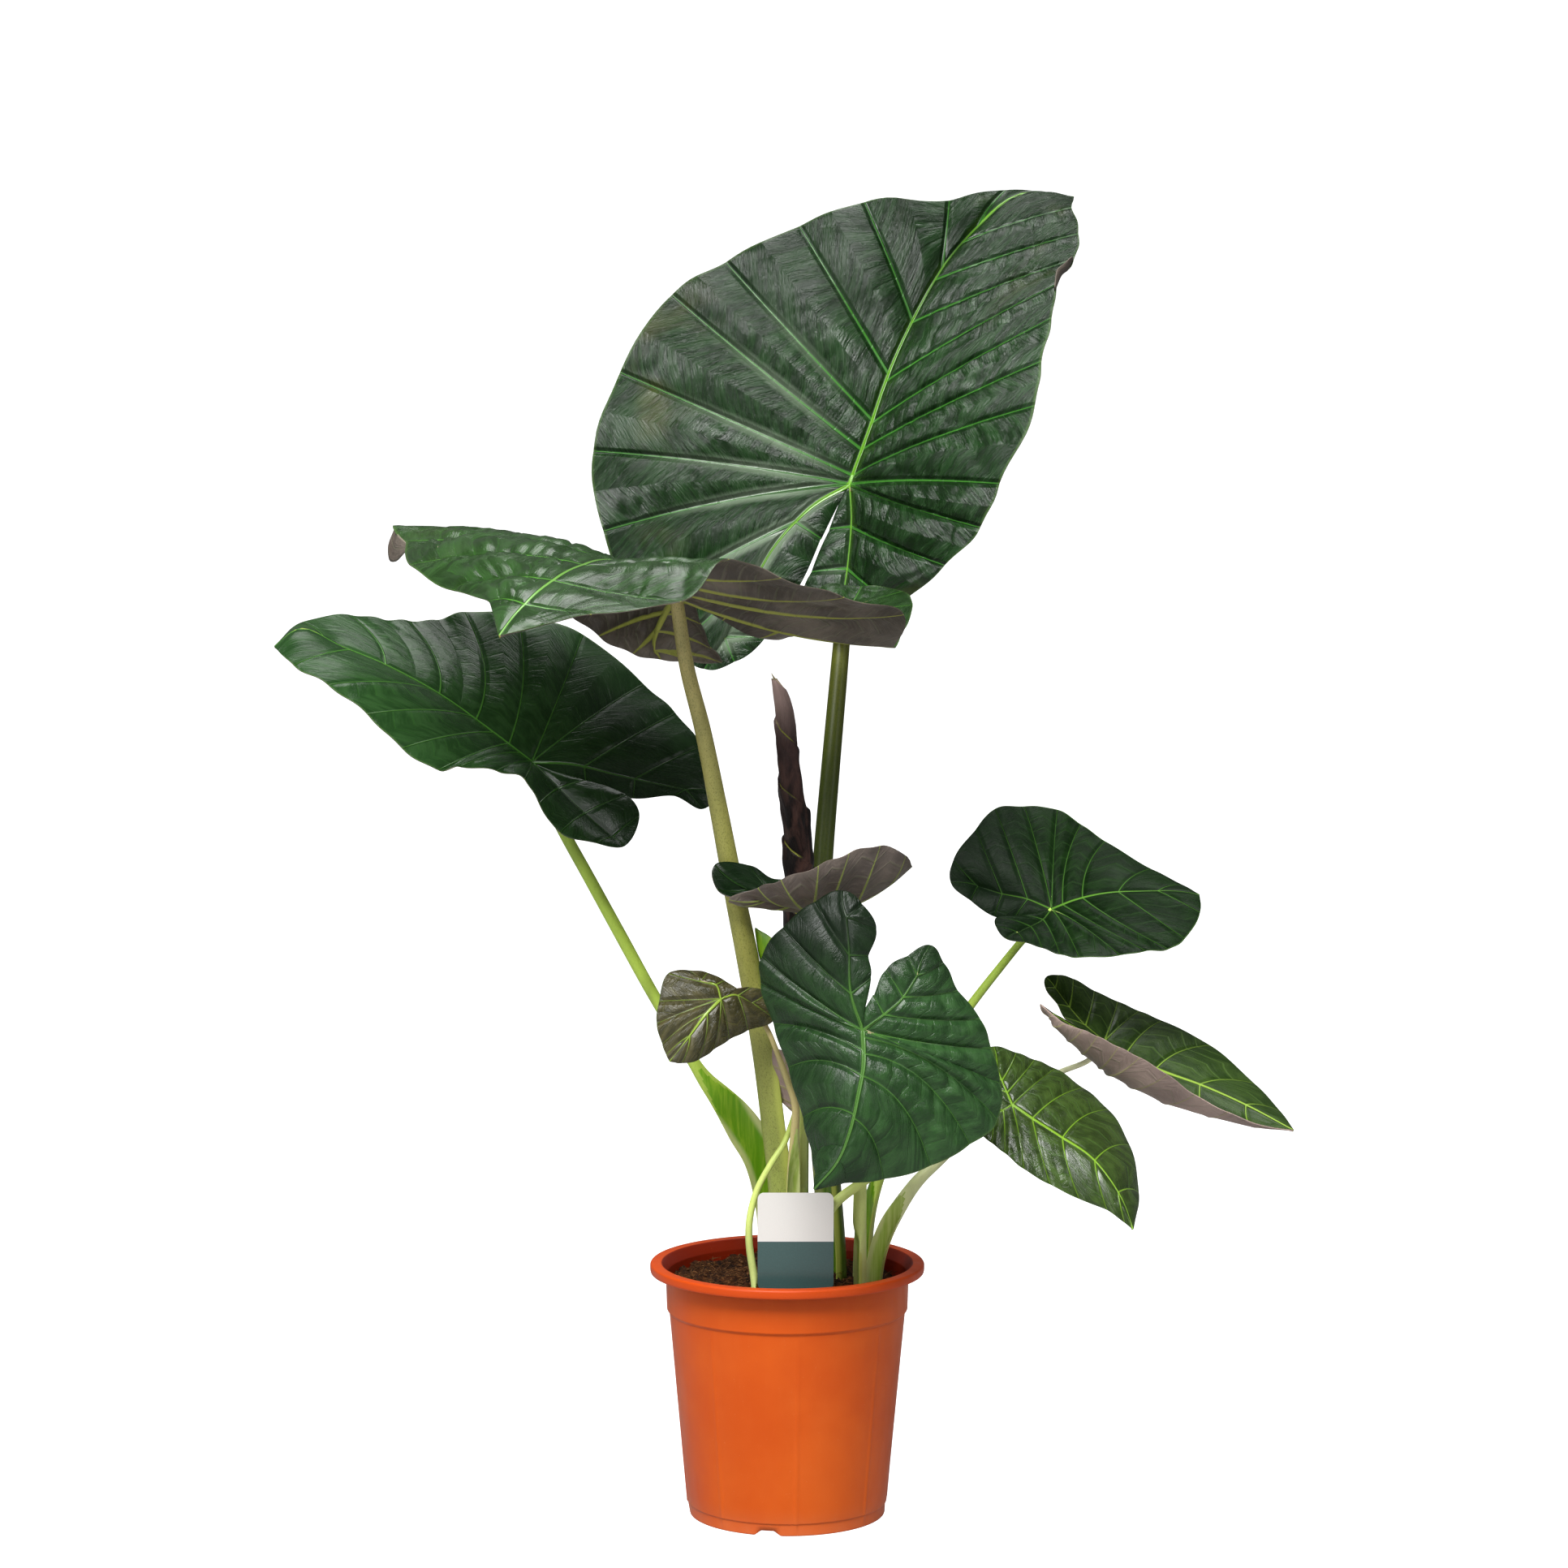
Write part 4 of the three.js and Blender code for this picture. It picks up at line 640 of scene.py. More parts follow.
def scalloped(margin, spine, amount, share, seed):
    """A margin drawn in at its veins and let out between them, with some waviness."""
    scallop = SCALLOP * (np.sin(np.pi * share) - SCALLOP_NEUTRAL)
    scallop = scallop + WAVINESS * lattice_noise(margin, WAVE_SCALE, seed + 31)
    return margin + unit(margin - spine) * (scallop * amount)[:, None]


def distance_to_veins(grid, places, gap, plain):
    """The distance from each place of a half to the nearer of the two veins that its panel lies between."""
    from_vein = np.full(grid.shape[:2], 99.0)
    row_of = np.searchsorted(places, np.arange(gap[-1] + 2))
    for index in range(gap[-1] + 1):
        inside = np.flatnonzero(gap == index)
        points = grid[inside].reshape(-1, 3)
        for edge in {index, index + 1} - plain:
            found = distance_to_line(points, grid[row_of[edge]]).reshape(len(inside), -1)
            from_vein[inside] = np.minimum(from_vein[inside], found)
    return from_vein


def half_blade(blade, half, steps, hand, seed):
    """One half's surface as a grid, with its vein facts."""
    rows, plain = control_rows(blade, half)
    gaps = len(rows) - 1
    places = np.concatenate([gap + ROW_SHARES for gap in range(gaps)] + [[gaps]])
    gap = np.minimum(places.astype(int), gaps - 1)
    share = places - gap
    on_midrib = np.array([rows[index + 1][0] == "midrib" for index in gap])
    start = np.array([rows[i][1] if rows[i][0] == rows[i + 1][0] else 0.0 for i in gap])
    stop = np.array([rows[i + 1][1] for i in gap])
    spine_share = start + (stop - start) * share
    midrib = Line(seen([blade["junction"], *blade["midrib"], blade["tip"]]))
    rib = Line(seen([blade["junction"], *half["rib"]]))
    spine = np.where(on_midrib[:, None], midrib.at(spine_share), rib.at(spine_share))
    along = np.where(on_midrib[:, None], midrib.along(spine_share), rib.along(spine_share))

    margin_points = seen([row[2] for row in rows])
    amount = min(1, blade["relief"] / 3) * (places > 1) * (places < gaps - 0.5)
    margin = scalloped(smooth_path(margin_points, places), spine, amount, share, seed)
    chord = margin - spine
    length = np.linalg.norm(chord, axis=1)
    normal = unit(np.cross(chord, along))
    facing = np.sign(normal @ unit(np.array(blade["upper"], float)))
    normal *= np.where(facing == 0, 1, facing)[:, None]
    free = ((places > 0) & (length > 1)).astype(float)
    normal = smooth_rows(normal * free[:, None], places)
    control = (spine + margin) / 2 + normal * (half["bow"] * length * 2 * free)[:, None]
    past_fan = np.clip((places - gap[on_midrib.argmax()]) / 2, 0, 1)
    sweep = half.get("sweep", -0.12) * eased(past_fan)
    control += along * np.where(on_midrib, sweep * length * free, 0)[:, None]
    reach = np.linspace(0, 1, steps) ** 1.05
    t = reach[None, :, None]
    grid = spine[:, None] * (1 - t) ** 2 + control[:, None] * 2 * t * (1 - t) + margin[:, None] * t**2

    flat = grid.reshape(-1, 3)
    spine_lines = [line.at(np.linspace(0, 1, 40)) for line in (midrib, rib)]
    from_spine = np.minimum(*(distance_to_line(flat, line) for line in spine_lines)).reshape(grid.shape[:2])

    panel_width = np.linalg.norm(margin_points[gap + 1] - margin_points[gap], axis=1)[:, None] * reach[None]
    across = np.minimum(share, 1 - share)[:, None] * panel_width
    phase = (length[:, None] * reach[None] - 0.8 * across) / VEIN_SPACING
    phase += 0.3 * np.sin(2.3 * places)[:, None]
    phase += 0.4 * lattice_noise(flat, 34, seed + 3).reshape(grid.shape[:2])
    whole = np.ones_like(from_spine)
    return {
        "grid": grid,
        "normal": normal,
        "side": np.where(on_midrib, 0, np.where(gap <= len(half["inner"]), 1, 2)),
        "spine_share": np.where(on_midrib, spine_share, 0.5 + 0.5 * spine_share),
        "share": share[:, None] * whole,
        "reach": reach[None] * whole,
        "from_vein": distance_to_veins(grid, places, gap, plain),
        "from_spine": from_spine,
        "phase": phase,
        "wave": blade.get("wave", 1.2),
        "panel": (gap + 20 * hand)[:, None] * whole,
        "length": length[:, None] * whole,
    }


def smooth_rows(values, places):
    """Row values averaged with their neighbours, so that the surface turns smoothly from rib to rib."""
    ends = (places == 0) | (places == places[-1])
    for _ in range(6):
        padded = np.vstack([values[:1], values, values[-1:]])
        inner = (padded[:-2] + 2 * padded[1:-1] + padded[2:]) / 4
        values = np.where(ends[:, None], values, inner)
    return values


def relief(blade, half, pucker, seed):
    """How far each place stands up: puffed between veins, creased along the small veins, and wrinkled."""
    flat = half["grid"].reshape(-1, 3)
    shape = half["reach"].shape
    fitted = np.minimum(1, half["length"] / FULL_RELIEF_WIDTH)
    window = np.sin(np.pi * half["share"]) ** 0.7 * np.sin(np.pi * half["reach"]) ** 0.8
    lift = blade["relief"] * fitted * window
    free = fitted * np.clip(half["from_vein"] / 5, 0, 1) * np.clip((half["from_spine"] - 3) / 14, 0, 1)
    free *= np.clip((1 - half["reach"]) / 0.08, 0, 1)

    def lumps(scale, offset, points=flat):
        return lattice_noise(points, scale, seed + offset).reshape(shape)

    crease = np.abs(np.sin(np.pi * half["phase"])) ** 0.6 - 0.6
    lift += pucker * CREASE_DEPTH * free * crease * (0.65 + 0.5 * lumps(45, 5))
    lift += pucker * WRINKLE_DEPTH * free * (lumps(12, 0) + 0.5 * lumps(6, 7))
    size = blade.get("blister_size", 30)
    lift += blade.get("blister", 0) * free * (lumps(size, 17) + 0.4 * lumps(size * 0.55, 19))
    folds = lumps(30, 11, flat * [1, 1, 0.8])
    lift -= pucker * FOLD_DEPTH * free * np.exp(-((folds / 0.09) ** 2))
    rise = np.clip((half["reach"] - 0.7) / 0.3, 0, 1) ** 2
    lift += half["wave"] * rise * np.sin(2 * np.pi * half["share"]) * fitted
    lift[0] = 0
    lift[:, 0] = 0
    return half["normal"][:, None] * lift[..., None]


def shared_normals(normals, halves):
    """One normal for each place on a rib, whichever side's grid it is reached from."""
    def along_spine(half, side):
        rows = np.flatnonzero(half["side"] == side)
        order = rows[np.argsort(half["spine_share"][rows], kind="stable")]
        found = normals[half["index"][order, 0]]
        return lambda shares: by_axis(shares, half["spine_share"][order], found)

    pairs = [[(halves[0], 0), (halves[1], 0)]]
    pairs += [[(half, 1), (half, 2)] for half in halves]
    fitted = normals.copy()
    for pair in pairs:
        curves = [along_spine(half, side) for half, side in pair]
        for half, side in pair:
            rows = np.flatnonzero(half["side"] == side)
            shares = half["spine_share"][rows]
            inner = shares > 0
            mixed = unit(sum(curve(shares) for curve in curves))
            fitted[half["index"][rows[inner], 0]] = mixed[inner]
    return fitted


def joined_halves(halves, grids):
    """The points of both halves, each place once, with its vein facts and the quads between them."""
    fact_names = ("from_vein", "from_spine", "reach", "phase", "share", "panel")
    points, keys, facts, faces = [], {}, [], []
    for hand, (half, grid) in enumerate(zip(halves, grids)):
        rows, columns = grid.shape[:2]
        table = np.stack([half[key] for key in fact_names], axis=2)
        index = np.empty((rows, columns), int)
        for row in range(rows):
            for column in range(columns):
                if column == 0 or row == rows - 1:
                    key = tuple(np.round(grid[row, column], 3))
                elif row == 0:
                    key = ("notch", column)
                else:
                    key = (hand, row, column)
                if key not in keys:
                    keys[key] = len(points)
                    points.append(grid[row, column])
                    facts.append((*table[row, column], half["spine_share"][row]))
                index[row, column] = keys[key]
        half["index"] = index
        a, b = index[:-1, :-1].ravel(), index[:-1, 1:].ravel()
        c, d = index[1:, 1:].ravel(), index[1:, :-1].ravel()
        faces.append(np.stack([a, b, c, d] if hand == 0 else [a, d, c, b], axis=1))
    return np.array(points), np.array(facts).T, np.vstack(faces)


BLADE_SHAPES = {}
BLADE_RIMS = {}


def build_blade(name, blade, materials, steps, puckers, seed):
    """A whole leaf blade: both halves, puffed up between its veins, with ribs on the underside."""
    halves = [half_blade(blade, half, steps, hand, seed) for hand, half in enumerate(blade["halves"])]
    grids = [half["grid"] + relief(blade, half, pucker, seed) for half, pucker in zip(halves, puckers)]
    points, facts, quads = joined_halves(halves, grids)
    from_vein, from_spine, reach, phase, share, panel, spine_share = facts
    count = len(points)
    upper = np.array(blade["upper"], float)

    normals = np.zeros_like(points)
    a, b, c, d = (points[quads[:, corner]] for corner in range(4))
    crosses = np.cross(c - a, d - b)
    for corner in range(4):
        np.add.at(normals, quads[:, corner], crosses)
    if (normals @ upper).sum() < 0:
        quads = quads[:, ::-1]
        normals = -normals
    normals = shared_normals(unit(normals), halves)
    cells = []
    for quad in quads.tolist():
        face = [corner for position, corner in enumerate(quad) if corner != quad[position - 1]]
        if len(set(face)) == len(face) >= 3:
            cells.append(face)

    rib_width = RIB_WIDTH + RIB_WIDENING * blade["rib"]
    spine_ridge = blade["rib"] * (1 - RIB_TAPER * spine_share) * np.exp(-((from_spine / rib_width) ** 2))
    vein_ridge = VEIN_HEIGHT * blade["rib"] * (1 - reach) * np.exp(-((from_vein / VEIN_WIDTH) ** 2))
    ridge = np.maximum(spine_ridge, vein_ridge)
    half_thick = BLADE_THICKNESS / 2 * np.where(reach > 0.995, 0.6, 1)
    top = points + normals * (half_thick + TOP_RIDGE * ridge)[:, None]
    under = points - normals * (half_thick + ridge)[:, None]
    BLADE_SHAPES[name] = (under, cells, unit(upper))
    BLADE_RIMS[name] = points[reach > 0.995]

    shell, rim = shell_faces(cells, count)
    material_of = [0] * len(cells) + [1] * (len(cells) + len(rim))
    on_rim = np.zeros(2 * count, int)
    for one, other in rim:
        if reach[one] > 0.99 and reach[other] > 0.99:
            on_rim[[one, other]] = 1
            on_rim[[count + one, count + other]] = 2
    layers = {
        "veins": np.stack([from_vein / 100, from_spine / 100], axis=1),
        "shares": np.stack([spine_share, reach], axis=1),
        "weave": np.stack([phase / 10, share], axis=1),
        "panel": np.stack([panel / 10, 0 * panel], axis=1),
    }
    layers = {key: np.tile(values, (2, 1)) for key, values in layers.items()}
    points = np.vstack([top, under])
    return add_piece(name, points, shell, name, materials, layers, material_of, on_rim)


def under_blade(points, blade_name):
    """Points moved, where they reach into or above a blade, to just under it."""
    under, faces, upper = BLADE_SHAPES[blade_name]
    tree = BVHTree.FromPolygons(under.tolist(), faces)
    moved = points.copy()
    for index, point in enumerate(points):
        near, normal, _, gap = tree.find_nearest(Vector(point))
        if near is None or gap > BLADE_REACH:
            continue
        side = normal if normal.dot(Vector(upper)) > 0 else -normal
        if (Vector(point) - near).dot(side) > -UNDER_GAP:
            moved[index] = np.array(near - side * UNDER_GAP)
    return moved


def build_fold(name, node, hinge, edge, materials, slot, bulge):
    """A strip that turns over from its hinge line to its free edge, and shows the second material."""
    hinge, edge = seen(hinge), seen(edge)
    if node in BLADE_RIMS:
        rim = BLADE_RIMS[node]
        away = np.linalg.norm(hinge[:, None] - rim[None], axis=2)
        settle = rim[away.argmin(axis=1)] - hinge
        hinge, edge = hinge + settle, edge + settle
        hinge += unit(rim.mean(axis=0) - hinge) * FOLD_SUNK
    places = np.linspace(0, len(hinge) - 1, FOLD_COLUMNS)
    hinge_line, edge_line = smooth_path(hinge, places), smooth_path(edge, places)
    share = np.linspace(0, 1, FOLD_ROWS)[:, None, None]
    sag = np.sin(np.pi * share) * np.sin(np.pi * np.linspace(0, 1, FOLD_COLUMNS))[None, :, None]
    middle = hinge_line[None] * (1 - share) + edge_line[None] * share + sag * np.array(bulge)
    normal = unit(np.cross(np.gradient(middle, axis=1), np.gradient(middle, axis=0)))
    normal *= -np.sign(normal[FOLD_ROWS // 2, FOLD_COLUMNS // 2, 1])
    thick = normal * FOLD_HALF_THICKNESS
    points = np.concatenate([(middle + thick).reshape(-1, 3), (middle - thick).reshape(-1, 3)])
    cells = []
    for row in range(FOLD_ROWS - 1):
        for low in range(row * FOLD_COLUMNS, (row + 1) * FOLD_COLUMNS - 1):
            cells.append([low, low + 1, low + FOLD_COLUMNS + 1, low + FOLD_COLUMNS])
    count = FOLD_ROWS * FOLD_COLUMNS
    faces, rim = shell_faces(cells, count)
    material_of = [1] * len(cells) + [0] * len(cells) + [1] * len(rim)
    flat = np.tile(np.linspace(0.5, 0.95, FOLD_COLUMNS), FOLD_ROWS)
    down = np.repeat(np.linspace(0.6, 0.98, FOLD_ROWS), FOLD_COLUMNS)
    layers = {
        "veins": np.stack([np.full(count, 0.2), np.full(count, 0.9)], axis=1),
        "shares": np.stack([flat, down], axis=1),
        "weave": np.stack([down * 0.5, flat], axis=1),
        "panel": np.zeros((count, 2)),
    }
    layers = {key: np.tile(values, (2, 1)) for key, values in layers.items()}
    return add_piece(name, points, faces, node, materials, layers, material_of)


# Stalks
def build_stalk(name, stalk, materials):
    """A stalk that widens into its sheath near the soil, and thins into the blade's midrib at the top."""
    shown = seen([*stalk["line"], BLADES[stalk["blade"]]["junction"]])
    foot = shown[0].copy()
    foot[2] = SOIL_TOP - STEM_BURIED
    path = Line(np.vstack([foot, shown]))
    rings = int(path.lengths[-1] / STALK_RING_STEP)
    shares = np.linspace(0, 1, rings)
    centre, along = path.at(shares), path.along(shares)
    sheath = stalk.get("sheath", {"top": 0, "width": 0, "opens": [1, 0, 0]})
    opens = unit(np.array(sheath["opens"], float))
    front = unit(opens - along * (along @ opens)[:, None])
    side = np.cross(along, front)
    radius = np.interp(shares * (len(stalk["radii"]) - 1), np.arange(len(stalk["radii"])), stalk["radii"])
    spread = np.zeros(rings)
    if sheath["top"]:
        narrowing = (shares - sheath["top"] * SHEATH_FULL) / (sheath["top"] * SHEATH_EASE)
        spread = 1 - eased(np.clip(narrowing, 0, 1))
    half_width = radius + (np.maximum(radius, sheath["width"] / 2) - radius) * spread
    turn = 2 * np.pi * (np.arange(STALK_SIDES) + 0.5) / STALK_SIDES
    forward = np.cos(turn)[None] * radius[:, None]
    hollow = np.where(forward > 0, forward * (1 - SHEATH_HOLLOW * spread[:, None]), forward)
    lateral = np.sin(turn)[None] * half_width[:, None]
    curl = SHEATH_CURL * spread[:, None] * radius[:, None] * (lateral / half_width[:, None]) ** 2
    grid = centre[:, None] + front[:, None] * (hollow + curl)[..., None]
    grid += side[:, None] * lateral[..., None]
    points = grid.reshape(-1, 3)
    near_blade = int(rings * NEAR_BLADE) * STALK_SIDES
    points[near_blade:] = under_blade(points[near_blade:], stalk["blade"])
    facing = np.cos(turn + math.pi / STALK_SIDES)
    inside = (facing[None] > 1.05 - 0.95 * spread[:-1, None]).astype(int).ravel()
    spread = np.repeat(spread, STALK_SIDES)
    layers = {
        "stalk": np.stack([np.repeat(shares, STALK_SIDES), np.tile(turn / (2 * np.pi), rings)], axis=1),
        "sheath": np.stack([np.abs(np.tile(np.sin(turn), rings)) * spread, spread], axis=1),
    }
    faces = tube_faces(rings, STALK_SIDES)
    return add_piece(name, points, faces, name, materials, layers, [*inside, 0, 0])


def build_young_leaf(materials):
    """The rolled leaf: its blade winds up a spiral whose edge stands proud, up to a hooked tip."""
    levels = len(YOUNG_LEAF["left"])
    depths = np.linspace(*YOUNG_LEAF["depths"], levels)
    left, right = (seen(np.column_stack([YOUNG_LEAF[side], depths])) for side in ("left", "right"))
    centres = (left + right) / 2
    radii = np.linalg.norm(left - right, axis=1) / 2
    foot = centres[0].copy()
    foot[2] = SOIL_TOP - STEM_BURIED
    places = np.linspace(0, levels, levels * YOUNG_RINGS_A_LEVEL)
    centre = smooth_path(np.vstack([foot, centres]), places)
    radius = np.interp(places, np.arange(levels + 1), [radii[0], *radii])
    wound = np.clip((places - WOUND_FROM) / WOUND_OVER, 0, 1)
    height = centre[:, 2]
    climb = np.cumsum(np.diff(height) * (wound[1:] + wound[:-1]) / 2)
    winding = np.concatenate([[0], climb]) / SEAM_PITCH
    share = np.arange(YOUNG_SIDES + 1) / YOUNG_SIDES
    turn = 2 * np.pi * (share[None] - winding[:, None]) + SEAM_START
    step = SEAM_STEP * wound[:, None] * (1 - share[None]) ** 0.8
    level = np.broadcast_to(height[:, None] / 5, turn.shape)
    spots = np.stack([np.cos(turn) * 6, np.sin(turn) * 6, level], axis=2)
    folds = lattice_noise(spots.reshape(-1, 3), 2.6, 21).reshape(turn.shape)
    flutes = np.sin(4 * turn + height[:, None] / 16)
    ripple = 1 + wound[:, None] * (ROLL_FOLDS * folds + ROLL_FLUTES * flutes)
    reach = radius[:, None] * (ROLL_SWELL - step) * ripple
    grid = centre[:, None] + np.stack([reach * np.cos(turn), reach * np.sin(turn), 0 * reach], axis=2)
    steps = np.linspace(0.35, len(HOOK) - 1, HOOK_RINGS)
    ring = np.stack([np.cos(turn[-1]), np.sin(turn[-1]), 0 * turn[-1]], axis=1)
    sizes = np.interp(steps, np.arange(len(HOOK)), HOOK_RADII)
    hook = smooth_path(seen(HOOK), steps)[:, None] + ring[None] * sizes[:, None, None]
    grid = np.concatenate([grid, hook])
    rings, row = grid.shape[:2]
    up = np.concatenate([places / levels, np.ones(len(steps))])
    layers = {"roll": np.stack([np.repeat(up, row), np.tile(share, rings)], axis=1)}
    faces = tube_faces(rings, row)
    return add_piece("leaf_young", grid.reshape(-1, 3), faces, "leaf_young", materials, layers)


# Pot, soil and label
def turned(profile, sides):
    """Points and faces of [radius, height] pairs turned about the upright axis, between two axis points."""
    points, rings, faces = [], [], []
    for radius, height in profile:
        count = 1 if radius == 0 else sides
        rings.append((len(points), count))
        angles = 2 * np.pi * np.arange(count) / sides
        points += [(radius * math.cos(angle), radius * math.sin(angle), height) for angle in angles]
    for (low, low_count), (high, high_count) in zip(rings, rings[1:]):
        for side in range(sides):
            after = side + 1
            lower = [low + side % low_count, low + after % low_count]
            upper = [high + after % high_count, high + side % high_count]
            faces.append(list(dict.fromkeys(lower + upper)))
    return np.array(points), faces


def rounded(profile, radius=0.6, steps=3):
    """A profile with its sharp corners eased over `radius` millimetres."""
    profile = np.array(profile, float)
    soft = [profile[0]]
    for before, corner, after in zip(profile, profile[1:], profile[2:]):
        arms = [before - corner, after - corner]
        lengths = [np.linalg.norm(arm) for arm in arms]
        cuts = [min(radius, 0.4 * length) for length in lengths]
        start, stop = (corner + arm / length * cut for arm, length, cut in zip(arms, lengths, cuts))
        for share in np.linspace(0, 1, steps):
            soft.append(start * (1 - share) ** 2 + corner * 2 * share * (1 - share) + stop * share**2)
    return soft + [profile[-1]]


def build_pot(materials):
    """A turned shell with its rim, collar and stepped foot, notched below and nubbed at its step."""
    lip = POT_HEIGHT - LIP_HEIGHT
    outside = [
        (0, 0), (PAD_RADIUS, 0), (PAD_RADIUS + 2, FLOOR_UNDERSIDE), (FOOT_RADIUS - 4, FLOOR_UNDERSIDE),
        (FOOT_RADIUS - 2.6, 0), (FOOT_RADIUS - 0.4, 0), (FOOT_RADIUS, 1), (FOOT_RADIUS + 0.4, FOOT_HEIGHT),
        (BODY_BOTTOM_RADIUS, FOOT_HEIGHT + 0.8), (BODY_TOP_RADIUS, BODY_TOP + 1.6),
        (BODY_TOP_RADIUS + 0.5, BODY_TOP + 2.4), (COLLAR_RADIUS - 0.9, COLLAR_BOTTOM - 1),
        (COLLAR_RADIUS, lip), (96.6, 193), (98.6, 195), (104, 195), (104.4, lip), (105.6, lip),
        (RIM_RADIUS, lip + 2), (RIM_RADIUS, POT_HEIGHT - 1.2), (RIM_RADIUS - 1, POT_HEIGHT),
    ]
    inside = [
        (97.4, POT_HEIGHT), (96.4, 196.2), (94.2, 192.5), (COLLAR_RADIUS - WALL, lip - 1),
        (COLLAR_RADIUS - WALL - 0.6, COLLAR_BOTTOM), (BODY_TOP_RADIUS - WALL, BODY_TOP),
        (BODY_BOTTOM_RADIUS - WALL, FOOT_HEIGHT + 2), (BODY_BOTTOM_RADIUS - WALL - 2, FLOOR_TOP),
        (0, FLOOR_TOP),
    ]
    points, faces = turned(rounded(outside + inside), POT_SIDES)
    radius = np.hypot(points[:, 0], points[:, 1])
    angle = np.degrees(np.arctan2(points[:, 1], points[:, 0]))

    def across(from_angle):
        return np.abs(np.radians((angle - from_angle + 180) % 360 - 180)) * radius

    ring = (radius > FOOT_RADIUS - 5) & (radius < FOOT_RADIUS + 1) & (points[:, 2] < NOTCH_HEIGHT)
    for count in range(NOTCH_COUNT):
        away = across(NOTCH_ANGLE + count * 360 / NOTCH_COUNT)
        share = np.clip((NOTCH_WIDTH / 2 - away) / (NOTCH_WIDTH - NOTCH_TOP_WIDTH) * 2, 0, 1)
        points[:, 2] = np.where(ring, np.maximum(points[:, 2], NOTCH_HEIGHT * share), points[:, 2])
    step = (np.abs(points[:, 2] - FOOT_HEIGHT) < 1.6) & (radius > FOOT_RADIUS - 1)
    for nub in FOOT_NUBS:
        height = step * NUB_HEIGHT * np.exp(-((across(nub) / NUB_WIDTH) ** 2))
        points[:, :2] *= (1 + height / radius.clip(1))[:, None]
    return add_piece("pot", points, faces, "pot", materials)


def soil_height(x, y):
    """The soil's top, the same mound as in the solids."""
    mound = 3.4 * np.cos(np.hypot(x + 24, y - 34) / 48)
    lumps = np.sin(x / 7.3 + 1.1) * np.cos(y / 6.1) + 0.6 * np.sin((x + y) / 4.7 + 0.6)
    return SOIL_TOP + mound + 1.56 * lumps


def crumbly_height(flat):
    """How high the soil stands at each place, crumbs and all."""
    crumbs = np.abs(lattice_noise(flat, 9, 3)) * 4.2 + np.abs(lattice_noise(flat, 4, 5)) * 3.2
    crumbs += lattice_noise(flat, 1.8, 9) * 1.1 - 2.6
    return soil_height(flat[:, 0], flat[:, 1]) + crumbs


def build_soil(materials):
    """The peat: a crumbly top of rings, and walls that follow the pot's inside down to its floor."""
    edge = COLLAR_RADIUS - WALL - 0.9
    walls = [
        (edge, 172), (COLLAR_RADIUS - WALL - 1.2, COLLAR_BOTTOM), (BODY_TOP_RADIUS - WALL - 0.5, BODY_TOP),
        (BODY_BOTTOM_RADIUS - WALL - 0.5, FOOT_HEIGHT + 2), (BODY_BOTTOM_RADIUS - WALL - 3, FLOOR_TOP + 0.4),
    ]
    angles = 2 * np.pi * np.arange(SOIL_SIDES) / SOIL_SIDES
    once_round = np.stack([np.cos(angles), np.sin(angles), 0 * angles], axis=1)
    radii = [edge * ring / SOIL_RINGS for ring in range(1, SOIL_RINGS + 1)] + [radius for radius, _ in walls]
    points = np.concatenate([np.zeros((1, 3)), *(once_round * radius for radius in radii)])
    points[:, 2] = crumbly_height(points)
    points[-len(walls) * SOIL_SIDES:, 2] = np.repeat([height for _, height in walls], SOIL_SIDES)
    faces = [[0, 1 + side, 1 + (side + 1) % SOIL_SIDES] for side in range(SOIL_SIDES)]
    for low in range(1, len(points) - SOIL_SIDES, SOIL_SIDES):
        high = low + SOIL_SIDES
        for side in range(SOIL_SIDES):
            after = (side + 1) % SOIL_SIDES
            faces.append([low + side, high + side, high + after, low + after])
    faces.append([high + side for side in reversed(range(SOIL_SIDES))])
    return add_piece("soil", points, faces, "soil", materials)


def held_in(x, y):
    """A place on the soil, drawn in to the pot's wall where it lies past it."""
    inward = min(1, FIBRE_LIMIT / max(1e-6, math.hypot(x, y)))
    return x * inward, y * inward


def build_fibres(materials):
    """Peat fibres and bark crumbs that lie on the soil."""
    chance = np.random.default_rng(11)
    points, faces = [], []
    for _ in range(FIBRE_COUNT):
        reach = FIBRE_FIELD * math.sqrt(chance.random())
        angle = chance.random() * 2 * math.pi
        x, y = reach * math.cos(angle), reach * math.sin(angle)
        heading = chance.random() * 2 * math.pi
        long = chance.random() < LONG_FIBRES
        length = chance.uniform(*(LONG_LENGTHS if long else SHORT_LENGTHS))
        thick = chance.uniform(*(LONG_THICKNESSES if long else SHORT_THICKNESSES))
        bend = chance.uniform(*BENDS)
        tilt = chance.uniform(*TILTS)
        root = -0.5 if long else 0.0

        def place(share):
            way = heading + bend * share
            return way, held_in(x + math.cos(way) * length * share, y + math.sin(way) * length * share)

        foot = place(root)[1]
        foot_height = float(crumbly_height(np.array([[*foot, 0.0]]))[0])
        faces += tube_faces(FIBRE_RINGS, FIBRE_SIDES, len(points))
        for ring in range(FIBRE_RINGS):
            share = ring / (FIBRE_RINGS - 1) - 0.5
            way, (px, py) = place(share)
            pz = foot_height + tilt * length * (share - root)
            size = thick * math.sqrt(max(0.05, 1 - (2 * share) ** 2))
            for corner in range(FIBRE_SIDES):
                turn = 2 * math.pi * corner / FIBRE_SIDES + ring * 0.2
                aside = size * math.cos(turn)
                points.append((
                    px - math.sin(way) * aside,
                    py + math.cos(way) * aside,
                    pz + size * math.sin(turn),
                ))
    return add_piece("peat_fibres", points, faces, None, materials)


